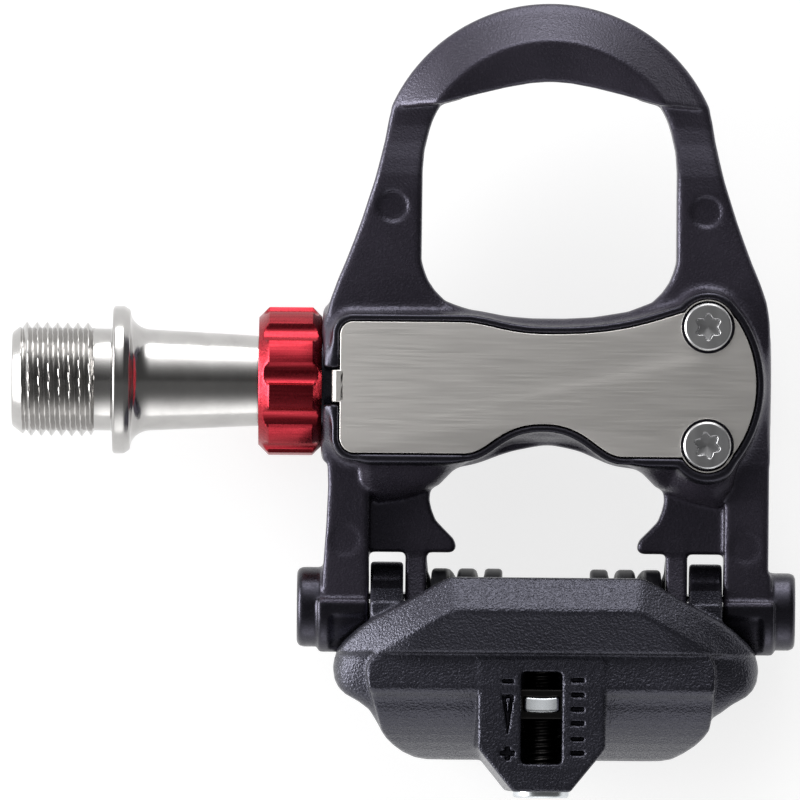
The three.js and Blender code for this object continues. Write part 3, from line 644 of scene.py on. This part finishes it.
    clay.cut(bore, (-28.6, -7.6, -7.6), (24.2, 7.6, 7.6))
    clay.cut(block((27.95, -23.3, -20), (40, 60, 30), 0), (27.95, -23.3, -10.2), (32.4, 40, 15.3), 0.9)
    clay.cut(side_rod(-40, 40, HINGE_Y, HINGE_Z, 2.12, 0), (-31.5, -30.5, -3.3), (31.5, -26, 1.3))

    # Shallow round moulding marks, one on each arm.
    for x0, y0, z0 in ((-19.6, 22.0, 5.5), (19.6, 21.6, 5.5), (24.9, -20.4, 4.0), (-25.3, -19.8, 4.0)):
        clay.cut(lambda x, y, z: np.maximum(np.hypot(x - x0, y - y0) - 1.9, z0 - 0.22 - z),
                 (x0 - 2, y0 - 2, z0 - 0.3), (x0 + 2, y0 + 2, z0 + 0.6))
    clay.soften()
    verts, faces = clay.mesh()
    obj = new_object("moulded_pedal_body", verts, faces, MAT["body"], (CENTRE_X, 0, 0))
    x, y, z = face_middles(obj)
    rim = (z > 8.5) & (np.abs(y) < 12.8)
    bosses = (y < -21.0) & ((np.abs(x) > 28.3) | ((np.abs(x) > 21.9) & (y < -27.6)))
    second_material(obj, MAT["smooth_and_shade"], rim | bosses)
    return place(obj, "pedal_body", ["pedal_body"])


# ---------------------------------------------------------------- rear clip
CLIP_HALF = [(11.6, -24.25), (12.2, -24.35), (14.25, -25.4), (16.5, -26.75), (20.1, -28.75), (21.5, -29.6),
             (23.4, -31.0), (25.0, -32.5), (25.9, -33.6), (26.45, -34.6), (26.6, -35.75), (26.4, -37.2),
             (25.9, -38.2), (25.1, -39.0), (23.3, -40.0), (22.0, -41.0), (21.0, -42.6), (20.0, -44)]
HOUSING_LEFT = [(20.6, -33.4), (21.6, -34.2), (22.3, -35.3), (22.4, -36.4), (22.1, -38.1), (21.5, -40.0),
                (21.1, -41.3), (20.5, -43.5), (19.9, -44.5), (19.0, -45.4), (17.8, -46.3), (16.3, -47.0),
                (14.7, -47.35), (12.0, -47.42)]
HOUSING_RIGHT = [(19.8, -33.4), (20.6, -34.2), (21.1, -35.3), (21.2, -36.4), (21.1, -38.1), (20.95, -40.0),
                 (20.85, -41.3), (20.5, -43.2), (19.8, -44.2), (18.8, -45.2), (17.4, -46.2), (15.9, -47.0),
                 (14.3, -47.35), (12.0, -47.42)]
HOUSING_SIDE = [(-33.6, 12.0), (-38.1, 12.6), (-38.7, 12.15), (-39.3, 11.2), (-40.0, 10.65), (-41.0, 10.1),
                (-42.0, 9.3), (-43.0, 8.25), (-44.0, 6.9), (-45.0, 5.2), (-46.0, 3.0), (-46.9, 0.6),
                (-47.35, -1.0), (-47.25, -3.4), (-46.0, -5.4), (-43.7, -6.9), (-40.8, -7.4), (-33.6, -7.4)]


def build_clip():
    clay = Clay((-27.6, -52.0, -8.2), (27.6, -22.0, 15.8), 0.21)

    def front(x, y, z):
        plan = outline_distance(mirrored(CLIP_HALF), x, y)
        ax = np.abs(x)
        bevel = (z - (12.2 + (-24.25 - y) * 0.675)) / math.hypot(1, 0.675)
        deck = (z - (15.0 + (y + 28.4) * 0.32)) / math.hypot(1, 0.32)
        corner = (ax - 11.4) * 0.3839 + (y + 28.4) * 0.4842 + (z - 15.0) * 0.7862
        flank = (ax - 21.6) * 0.64 + (y + 33.0) * 0.07 + (z - 11.9) * 0.765
        top = meet(meet(bevel, deck, 0.25), corner, 0.25)
        top = meet(top, flank, 2.6)
        low = np.maximum(np.minimum(10.4 - z, y + 25.9), 4.6 - z)
        solid = meet(meet(plan, top, 0.35), low, 0.3)
        return meet(solid, -33.75 - y, 0.3)

    clay.add(front, (-26.7, -33.9, 4.5), (26.7, -24.2, 15.2))

    def wing(x, y, z):
        right = CLIP_HALF[:-2] + [(20.9, -41.7), (18.6, -42.4)]
        plan = outline_distance(right + [(-a, b) for a, b in reversed(CLIP_HALF)], x, y)
        ax = np.abs(x)
        flank = (ax - 21.6) * 0.64 + (y + 33.0) * 0.04 + (z - 11.2) * 0.767
        back = (y + 38.6) * -0.55 + (z - 9.6) * 0.83
        top = meet(meet(flank, z - 11.3, 2.0), back, 3.0)
        return meet(meet(meet(plan, top, 1.6), -4.6 - z, 1.2), np.maximum(17.0 - ax, y + 29.4), 0.5)

    clay.add(wing, (-26.7, -43, -5), (26.7, -28.5, 12), 0.8)

    def housing(x, y, z):
        left = [(-a, b) for a, b in reversed(HOUSING_LEFT)]
        plan = outline_distance([(19.8, -30.0)] + HOUSING_RIGHT + left + [(-20.6, -30.0)], x, y)
        side = outline_distance(HOUSING_SIDE, y, z)
        return meet(plan, side, 0.35)

    clay.add(housing, (-22.5, -47.3, -7.6), (22.5, -33.5, 12.6), 0.35)

    def body(x, y, z):
        return meet(np.maximum(np.abs(x) - 21.8, np.abs(y + 33.2) - 2.6), np.abs(z - 2.0) - 6.4, 0.4)

    clay.add(body, (-22, -36, -5), (22, -30.4, 8.6), 0.5)

    def knuckles(x, y, z):
        across = np.abs(np.abs(x) - 19.95) - 2.05
        disc = np.hypot(y - HINGE_Y, z - HINGE_Z) - 5.75
        web = outline_distance([(-34, -6.6), (-34, 8), (-27.5, 8), (-24.6, 3.2), (HINGE_Y, -6.6)], y, z)
        return meet(np.minimum(disc, web), across, 0.35)

    clay.add(knuckles, (-22.1, -34.2, -6.9), (22.1, -22.4, 8.1), 0.3)

    def tower(x, y, z):
        plan = outline_distance(mirrored([(8.0, -34.2), (8.0, -45.6), (3.6, -51.0)]),
                                x - SCREW_X + 0.05 * (12.0 - z), y)
        draft = 0.01 * (11.0 - z)
        top = sloped([13.3, 12.85, 12.2], [-52, -44, -33], y, z)
        return meet(meet(plan - draft, top, 0.3), np.maximum(-4.0 - z, y + 34.2), 0.6)

    clay.add(tower, (-9.4, -51.9, -4.2), (8.4, -33.8, 12.6), 0.25)

    coil = side_rod(-17.85, 17.85, HINGE_Y, HINGE_Z, 5.45, 0)
    clay.cut(coil, (-17.9, -33.8, -6.5), (17.9, -22.5, 4.6))
    clay.cut(lambda x, y, z: np.maximum(np.maximum(np.abs(x) - 17.85, -28.3 - y), z - 4.45),
             (-17.9, -28.4, -8.2), (17.9, -22.2, 4.5))
    clay.cut(side_rod(-30, 30, HINGE_Y, HINGE_Z, 3.1, 0), (-22.2, -31.5, -4.3), (22.2, -25, 2.2))
    clay.cut(side_rod(22.02, 32, HINGE_Y, HINGE_Z, 6.25, 0.3), (-27, -34.7, -7.4), (27, -21.8, 5.4))

    def loop_room(x, y, z):
        side = outline_distance([(-30, -6.25), (-34, -5.6), (-38.5, -1.5), (-42, 0.9), (-47.4, 0.9),
                                 (-47.4, 4.6), (-40.6, 4.6), (-39.6, 2.8), (-36, 1.6), (-34, 1.2),
                                 (-30, 0)], y, z)
        half = [(7.2, -29), (7.2, -36), (5.5, -41), (5.5, -44), (4.4, -46.4), (2.4, -47.4)]
        return meet(side, outline_distance(mirrored(half), x, y))

    clay.cut(loop_room, (-7.3, -47.5, -6.3), (7.3, -29, 4.7))
    clay.cut(block((SCREW_X - 4.5, -47.5, 3.4), (SCREW_X + 4.5, -35.5, 10.2), 0.4),
             (-5.1, -47.6, 3.3), (4.1, -35.4, 10.3))
    clay.cut(block((SCREW_X - 2.55, -47.5, 9.5), (SCREW_X + 2.55, -36.0, 20), 0.5),
             (-3.2, -47.6, 9.5), (2.2, -35.9, 13))

    def screw_way(x, y, z):
        reach = np.hypot(x - SCREW_X, z - SCREW_Z)
        return np.minimum(np.maximum(reach - 3.7, y + 48.6), np.maximum(reach - 2.55, y + 34.0))

    clay.cut(screw_way, (-4.3, -51.9, 3.1), (3.3, -33.9, 10.7), 0.15)
    clay.soften()

    # A generic scale: six short strokes on one side; minus, a wedge and plus on the other.
    def mark(x0, x1, y0, y1):
        low, high = (SCREW_X + x0, y0, 11.6), (SCREW_X + x1, y1, 14)
        clay.cut(block(low, high, 0.08), (low[0] - 0.1, y0 - 0.1, 11.4), (high[0] + 0.1, y1 + 0.1, 13))

    for y0 in (-37.0, -38.85, -40.65, -42.4, -44.35, -46.1):
        mark(3.7, 5.35, y0 - 0.28, y0 + 0.28)
    mark(-4.95, -3.45, -37.45, -36.95)
    mark(-5.1, -3.3, -46.5, -45.9)
    mark(-4.5, -3.9, -47.1, -45.3)

    def wedge(x, y, z):
        side = outline_distance([(-3.45, -38.9), (-4.95, -38.9), (-4.2, -43.9)], x - SCREW_X, y)
        return np.maximum(np.abs(side + 0.2) - 0.2, 11.45 - z)

    clay.cut(wedge, (-5.5, -44.1, 11.4), (-3.9, -38.7, 13))
    verts, faces = clay.mesh()
    obj = new_object("moulded_clip_jaw", verts, faces, MAT["clip"], (CENTRE_X, 0, 0))
    x, y, z = face_middles(obj)
    knuckles = (np.abs(np.abs(x) - 19.95) < 2.2) & (y > -33.4) & (z < 5.2)
    # Painted shade: the walls of the pocket round the screw and nut get the near-black plastic.
    inside = (np.abs(x - SCREW_X) < 4.6) & (y > -47.6) & (y < -35.4) & (z < 11.6)
    second_material(obj, MAT["smooth_and_shade"], knuckles | inside)
    return place(obj, "rear_clip", ["clip_jaw"])


build_body()
build_clip()


# ---------------------------------------------------------------- plate and its screws
def curve_mesh(curve):
    """The mesh of a curve, which itself is taken away again."""
    obj = bpy.data.objects.new(curve.name, curve)
    bpy.context.scene.collection.objects.link(obj)
    depsgraph = bpy.context.evaluated_depsgraph_get()
    mesh = bpy.data.meshes.new_from_object(obj.evaluated_get(depsgraph))
    bpy.data.objects.remove(obj)
    return mesh


def build_plate():
    """The sheet, bevelled round its edge and its screw holes, with its folded tab."""
    edge = 0.08
    thick = 0.8
    curve = bpy.data.curves.new("plate_path", "CURVE")
    curve.dimensions, curve.fill_mode = "2D", "BOTH"
    curve.extrude = (thick / 2 - edge) * MM
    curve.bevel_depth = edge * MM
    curve.bevel_resolution = 3
    outlines = [grown(PLATE, -edge)]
    outlines += [arc(x0, y0, SCREW_HOLE_R + edge, 0, 354, 60) for x0, y0 in PLATE_SCREWS.values()]
    for outline in outlines:
        spline = curve.splines.new("POLY")
        spline.points.add(len(outline) - 1)
        for point, (x, y) in zip(spline.points, outline):
            point.co = ((x + CENTRE_X) * MM, y * MM, 0, 1)
        spline.use_cyclic_u = True
    mesh = curve_mesh(curve)
    mesh.transform(Matrix.Translation((0, 0, (PLATE_TOP - thick / 2) * MM)))
    mesh.materials.clear()
    mesh.materials.append(MAT["plate"])
    joined_edges = bmesh.new()
    joined_edges.from_mesh(mesh)
    bmesh.ops.remove_doubles(joined_edges, verts=joined_edges.verts, dist=2e-6)
    joined_edges.to_mesh(mesh)
    joined_edges.free()
    mesh.polygons.foreach_set("use_smooth", [True] * len(mesh.polygons))
    obj = bpy.data.objects.new("brushed_platform_plate", mesh)
    bpy.context.scene.collection.objects.link(obj)
    sharpen(obj, 30)

    clay = Clay((-27.6, -3.2, 7.2), (-25.2, 2.0, 9.8), 0.07)
    profile = [(-27.0, 7.7), (-26.3, 7.7), (-26.3, 8.65), (-25.6, 8.65), (-25.6, 9.45), (-26.5, 9.45),
               (-26.85, 9.3), (-27.0, 8.95)]
    clay.add(lambda x, y, z: meet(outline_distance(profile, x, z), np.abs(y + 0.55) - 2.0, 0.15),
             (-27.1, -2.7, 7.6), (-25.5, 1.6, 9.5))
    tab_verts, tab_faces = clay.mesh()
    tab = new_object("platform_plate_tab", tab_verts, tab_faces, MAT["plate"], (CENTRE_X, 0, 0))
    place(tab, "pedal_body", ["platform_plate"])
    return place(obj, "pedal_body", ["platform_plate"])


def build_plate_screw(node, x0, y0, turn):
    clay = Clay((-3.2, -3.2, -2.4), (3.2, 3.2, 1.2), 0.06)

    def head(x, y, z):
        reach = np.hypot(x, y)
        chamfer = (reach - 2.98 + z - 0.68) * math.sqrt(0.5)
        return meet(meet(np.maximum(reach - 2.98, z - 0.9), chamfer, 0.05), -0.72 - z)

    clay.add(head, (-3.1, -3.1, -0.8), (3.1, 3.1, 1.0))
    clay.add(lambda x, y, z: np.maximum(np.hypot(x, y) - 1.9, np.maximum(z, -2.3 - z)),
             (-1.9, -1.9, -2.3), (1.9, 1.9, 0.1))

    def star(x, y, z):
        angle = np.arctan2(y, x) + turn
        reach = np.hypot(x, y)
        lobes = 1.42 + 0.25 * np.cos(6 * angle) + 0.05 * (z - 0.9)
        floor_at = -0.55 + 0.24 * (reach - 1.4)
        return np.maximum((reach - lobes) * 0.8, floor_at - z)

    clay.cut(star, (-1.8, -1.8, -1.8), (1.8, 1.8, 1.1), 0.09)
    verts, faces = clay.mesh()
    obj = new_object("torx_" + node, verts, faces, MAT["screw"], (CENTRE_X + x0, y0, PLATE_TOP))
    return place(obj, "pedal_body", [node])


build_plate()
for (screw_node, (sx, sy)), turn in zip(PLATE_SCREWS.items(), (0.52, 0.30)):
    build_plate_screw(screw_node, sx, sy, turn)


# ---------------------------------------------------------------- turned pieces
def skin(name, rings, material, crease, offset=(0, 0, 0)):
    """A closed skin over rings of points that run anticlockwise as seen from the last ring."""
    sides = len(rings[0])
    faces = []
    for level in range(len(rings) - 1):
        a = level * sides + np.arange(sides)
        b = level * sides + (np.arange(sides) + 1) % sides
        faces.append(np.stack([a, b, b + sides, a + sides], axis=1))
    quads = [tuple(q) for q in np.concatenate(faces)]
    first = tuple(range(sides))[::-1]
    last = tuple(range((len(rings) - 1) * sides, len(rings) * sides))
    obj = new_object(name, np.concatenate(rings), quads + [first, last], material, offset)
    sharpen(obj, crease)
    return obj


def turned_piece(name, stations, material, sides, crease):
    """A closed skin round X. Each station is (x, radius) or (x, function of angle giving radius)."""
    angles = np.linspace(0, 2 * np.pi, sides, endpoint=False)
    rings = []
    for x, r in stations:
        radius = r(angles, x) if callable(r) else np.full(sides, float(r))
        along = np.full(sides, float(x))
        rings.append(np.stack([along, radius * np.cos(angles), radius * np.sin(angles)], axis=1))
    return skin(name, rings, material, crease)


def hexagon_radius(across_flats):
    def radius(angles, _):
        sector = (angles + math.pi / 6) % (math.pi / 3) - math.pi / 6
        return across_flats / 2 / np.cos(sector)
    return radius


def build_spindle():
    """From the key socket's floor out along its walls, then over the thread, flange and neck to the tip."""
    key = hexagon_radius(8.0)
    stations = [(-4.2, 0.15), (-3.7, 3.2), (-3.6, key)]
    stations += [(x, key) for x in np.linspace(-4.0, -12.1, 5)]
    stations += [(-12.3, lambda a, x: key(a, x) * 0.5 + 2.45), (-12.6, 5.0), (-12.6, 5.7), (-12.45, 5.95)]

    pitch = 1.27
    depth = 0.72

    def thread(angles, x):
        phase = ((x / pitch) - angles / (2 * np.pi)) % 1.0
        flank = np.clip(np.abs(phase - 0.5) * 2 * 1.18 - 0.09, 0, 1)
        cap = np.interp(x, [-12.45, -10.9, -2.7, -2.3], [5.95, 7.14, 7.14, 6.45])
        return np.minimum(7.14 - depth * flank, cap)

    stations += [(x, thread) for x in np.linspace(-12.4, -2.3, 150)]
    stations += [(-2.2, 6.4), (-0.25, 6.4), (0.0, 6.65), (0.0, 8.85), (0.06, 9.05), (0.2, 9.19), (0.38, 9.25),
                 (1.35, 9.25), (1.5, 9.2), (1.62, 9.12), (2.05, 8.86), (2.2, 8.7)]
    fillet = np.linspace(0.02, math.pi / 2, 20)
    stations += [(4.95 - 2.72 * math.cos(t), 8.62 - 2.29 * math.sin(t)) for t in fillet]
    stations += [(x, float(np.interp(x, [4.95, 18.3], [6.33, 5.65]))) for x in np.linspace(5.4, 18.3, 8)]
    stations += [(26, 5.5), (31, 5.3), (33, 5.0), (45, 5.0), (60, 3.7), (61.5, 3.7), (61.9, 4.4), (63.4, 4.4),
                 (63.4, 3.4), (73.2, 3.4), (73.4, 2.9)]

    def tip_thread(angles, x):
        phase = ((x / 0.8) - angles / (2 * np.pi)) % 1.0
        fade = np.interp(x, [73.4, 74.0, 76.6, 77.2], [0, 1, 1, 0])
        return 2.9 - 0.4 * np.clip(np.abs(phase - 0.5) * 2.2, 0, 1) * fade

    stations += [(x, tip_thread) for x in np.linspace(73.5, 77.1, 40)]
    stations += [(77.4, 2.4), (77.4, 0.15)]
    obj = turned_piece("threaded_spindle", stations, MAT["spindle"], sides=192, crease=30)
    return place(obj, "spindle", ["spindle"])


def build_collar():
    """Ten flat crests with hollow scallops between them; both ends are bevelled."""
    tooth = 2 * math.pi / 10
    first_crest = math.radians(-23.5)
    crest = math.radians(9.6)
    valley = math.radians(18.0)

    def rim(angles):
        # angle from +Z towards -Y, as the crests are counted
        turn = (np.arctan2(-np.cos(angles), np.sin(angles)) - first_crest) % tooth
        off = np.abs((turn + tooth / 2) % tooth - tooth / 2)
        t = np.clip((off - crest) / (valley - crest), 0, 1)
        hollow = np.sqrt(np.clip(1 - (1 - t) ** 2, 0, 1))
        return 9.27 - 0.72 * hollow

    def at(limit):
        return lambda angles, x: np.minimum(rim(angles), limit)

    stations = [(21.95, 5.97), (19.6, 5.97), (18.55, 5.97), (18.3, 6.2), (18.3, 8.0)]
    stations += [(x, at(8.08 + x - 18.4)) for x in np.linspace(18.4, 19.62, 10)]
    stations += [(x, at(9.4)) for x in np.linspace(19.7, 25.0, 4)]
    stations += [(x, at(9.3 - (x - 25.0))) for x in np.linspace(25.05, 26.2, 9)]
    stations += [(26.2, 7.4), (32.3, 7.4), (32.8, 7.0), (32.8, 6.1), (32.6, 5.97), (28.0, 5.97), (22.1, 5.97)]
    obj = turned_piece("scalloped_lock_collar", stations, MAT["red"], sides=240, crease=24)

    # The collar is a ring: its two inner ends meet, so the end caps go and the last gap is closed.
    ring = bmesh.new()
    ring.from_mesh(obj.data)
    bmesh.ops.delete(ring, geom=[f for f in ring.faces if len(f.verts) > 4], context="FACES_ONLY")
    bmesh.ops.bridge_loops(ring, edges=[e for e in ring.edges if e.is_boundary])
    bmesh.ops.recalc_face_normals(ring, faces=ring.faces)
    ring.to_mesh(obj.data)
    ring.free()
    # Painted shade: the shank, which sits in the body's bore, gets the near-black plastic instead of red.
    second_material(obj, MAT["smooth_and_shade"], (face_middles(obj)[0] + CENTRE_X) > 26.35)
    return place(obj, "pedal_body", ["lock_collar"])


build_spindle()
build_collar()


# ---------------------------------------------------------------- torsion spring
def round_wire(name, route, wire):
    """Wire of round section."""
    curve = bpy.data.curves.new(name + "_path", "CURVE")
    curve.dimensions = "3D"
    spline = curve.splines.new("POLY")
    spline.points.add(len(route) - 1)
    for point, (x, y, z) in zip(spline.points, route):
        point.co = ((x + CENTRE_X) * MM, y * MM, z * MM, 1)
    spline.use_smooth = True
    curve.bevel_depth = wire * MM
    curve.bevel_resolution = 5
    curve.use_fill_caps = True
    mesh = curve_mesh(curve)
    mesh.materials.clear()
    mesh.materials.append(MAT["spring"])
    mesh.polygons.foreach_set("use_smooth", [True] * len(mesh.polygons))
    piece = bpy.data.objects.new(name, mesh)
    bpy.context.scene.collection.objects.link(piece)
    sharpen(piece, 50)
    return piece


def square_wire(name, route, half_width, corner=0.5):
    """Wire of rounded square section whose flats face along X."""
    section = []
    for sx, sy, start in ((1, 1, 0), (-1, 1, 90), (-1, -1, 180), (1, -1, 270)):
        section += arc(sx * (half_width - corner), sy * (half_width - corner), corner, start, start + 90, 5)
    u, v = np.array(section).T[:, None, :, None]
    points = np.array(route, dtype=np.float64)
    along = np.gradient(points, axis=0)
    along /= np.linalg.norm(along, axis=1, keepdims=True)
    across = np.array([1.0, 0.0, 0.0]) - along[:, :1] * along
    across /= np.linalg.norm(across, axis=1, keepdims=True)
    rings = points[:, None] + across[:, None] * u + np.cross(along, across)[:, None] * v
    return skin(name, list(rings), MAT["spring"], 50, (CENTRE_X, 0, 0))


def build_spring():
    """Two coils of three turns stay with the body; the loop between them swings with the jaw."""
    wire = 1.13
    coil = 3.85
    leg = -13.5
    leave = -6.6
    half = [(-16.1, -20.8, -5.3), (-16.1, -22.0, -5.5), (-15.9, -24.0, -5.75), (-15.3, -25.6, -5.7),
            (-14.4, -27.0, -5.3)]
    per_turn = 28
    for i in range(3 * per_turn + 1):
        turn = i / per_turn
        angle = -math.pi / 2 - turn * 2 * math.pi
        x = float(np.interp(turn, [0, 0.25, 0.5, 0.75, 1.0, 1.25, 1.75, 2.7, 3.0],
                            [leg, leg, -13.45, -13.2, -11.25, -10.9, -9.9, leave, leave]))
        half.append((x, HINGE_Y + coil * math.cos(angle), HINGE_Z + coil * math.sin(angle)))
    out = [(-6.2, -30.4, -4.65), (-5.6, -32.3, -4.1), (-5.0, -36.0, -1.4), (-4.3, -39.5, 1.3)]
    bend = [(-4.0, -42.0, 2.3), (-3.2, -44.4, 2.4)]
    # The loop starts inside the coil's last turn, so that it can swing back along it.
    swing = half[-4:] + out + bend
    swing += [(0, -46.0, 2.4)] + [(-x, y, z) for x, y, z in reversed(swing)]
    for side, name in ((1, "inboard"), (-1, "outboard")):
        route = [(side * x, y, z) for x, y, z in half[:-2]]
        piece = square_wire("torsion_spring_coil_" + name, route, wire)
        place(piece, "pedal_body", ["torsion_spring"])
    loop = round_wire("torsion_spring_loop", swing, wire * 0.955)
    place(loop, "rear_clip", ["torsion_spring"])


build_spring()


# ---------------------------------------------------------------- tension screw and nut
def build_tension_screw():
    clay = Clay((-3.8, -52.2, -3.8), (3.8, -34.0, 3.8), 0.12)
    pitch = 0.8

    def screw(x, y, z):
        reach = np.hypot(x, z)
        phase = (y / pitch + np.arctan2(z, x) / (2 * np.pi)) % 1.0
        shank = reach - (2.38 - 0.42 * np.abs(phase - 0.5) * 2)
        shank = np.maximum(shank * 0.8, np.maximum(y + 34.4, -50.0 - y))
        head = meet(reach - 3.5, np.maximum(y + 49.2, -51.8 - y), 0.35)
        return np.minimum(shank, head)

    clay.add(screw, (-3.6, -51.9, -3.6), (3.6, -34.3, 3.6))

    def socket(x, y, z):
        flats = np.maximum(np.abs(z), np.abs(x) * 0.866 + np.abs(z) * 0.5)
        return np.maximum(flats - 1.5, y + 50.0)

    clay.cut(socket, (-2, -52, -2), (2, -49.9, 2), 0.1)
    verts, faces = clay.mesh()
    obj = new_object("threaded_tension_screw", verts, faces, MAT["zinc"], (CENTRE_X + SCREW_X, 0, SCREW_Z))
    # The thread gets near-black steel as painted shade, where it runs in the jaw's pocket; only the head is
    # bright.
    second_material(obj, MAT["painted_shade_steel"], face_middles(obj)[1] > -49.2)
    return place(obj, "tension_screw", ["tension_screw"])


def build_tension_nut():
    clay = Clay((-4.6, -2.2, 3.3), (4.6, 3.0, 12.0), 0.1)
    clay.add(block((-4.3, -1.5, 3.7), (4.3, 1.5, 9.9), 0.3), (-4.4, -1.6, 3.6), (4.4, 1.6, 10))
    clay.add(block((-3.6, 0.0, 7.0), (3.6, 2.4, 10.0), 0.35), (-3.7, -0.1, 6.9), (3.7, 2.5, 10.1))

    def tab(x, y, z):
        front = np.abs(y - 0.35 - 0.03 * x ** 2) - 0.95
        top = (z - 11.45 + 0.30 * y + 0.05 * x ** 2) * 0.94
        return meet(meet(front, np.abs(x) - 2.2, 0.4), np.maximum(top, 9 - z), 0.25)

    clay.add(tab, (-2.3, -1.3, 9), (2.3, 1.7, 11.8), 0.1)
    clay.cut(lambda x, y, z: np.hypot(x, z - SCREW_Z) - 2.5, (-2.6, -2.2, 4.3), (2.6, 3.0, 9.5))
    verts, faces = clay.mesh()
    obj = new_object("tabbed_tension_nut", verts, faces, MAT["zinc"], (CENTRE_X + SCREW_X, NUT_Y, 0))
    # Painted shade: the nut's block below the tab gets the near-black steel.
    second_material(obj, MAT["painted_shade_steel"], face_middles(obj)[2] < 10.4)
    return place(obj, "tension_nut", ["tension_nut"])


build_tension_screw()
build_tension_nut()


# ---------------------------------------------------------------- finishes of the CAD pieces that stay
ROLLING = [f"{part}_{i}" for part in ("bearing_inner_race", "bearing_outer_race", "ball_cage")
           for i in (1, 2, 3)]
KEPT = {
    "bearing": ["spindle_nut", "spacer_sleeve", "hinge_pin", "tension_screw_washer"] + ROLLING,
    "bush": ["axle_bush", "hinge_bush_inboard", "hinge_bush_outboard"],
    "rubber": ["axle_seal"],
}
for finish_name, node_names in KEPT.items():
    for node_name in node_names:
        node_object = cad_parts[node_name]
        node_object.data.materials.clear()
        node_object.data.materials.append(MAT[finish_name])
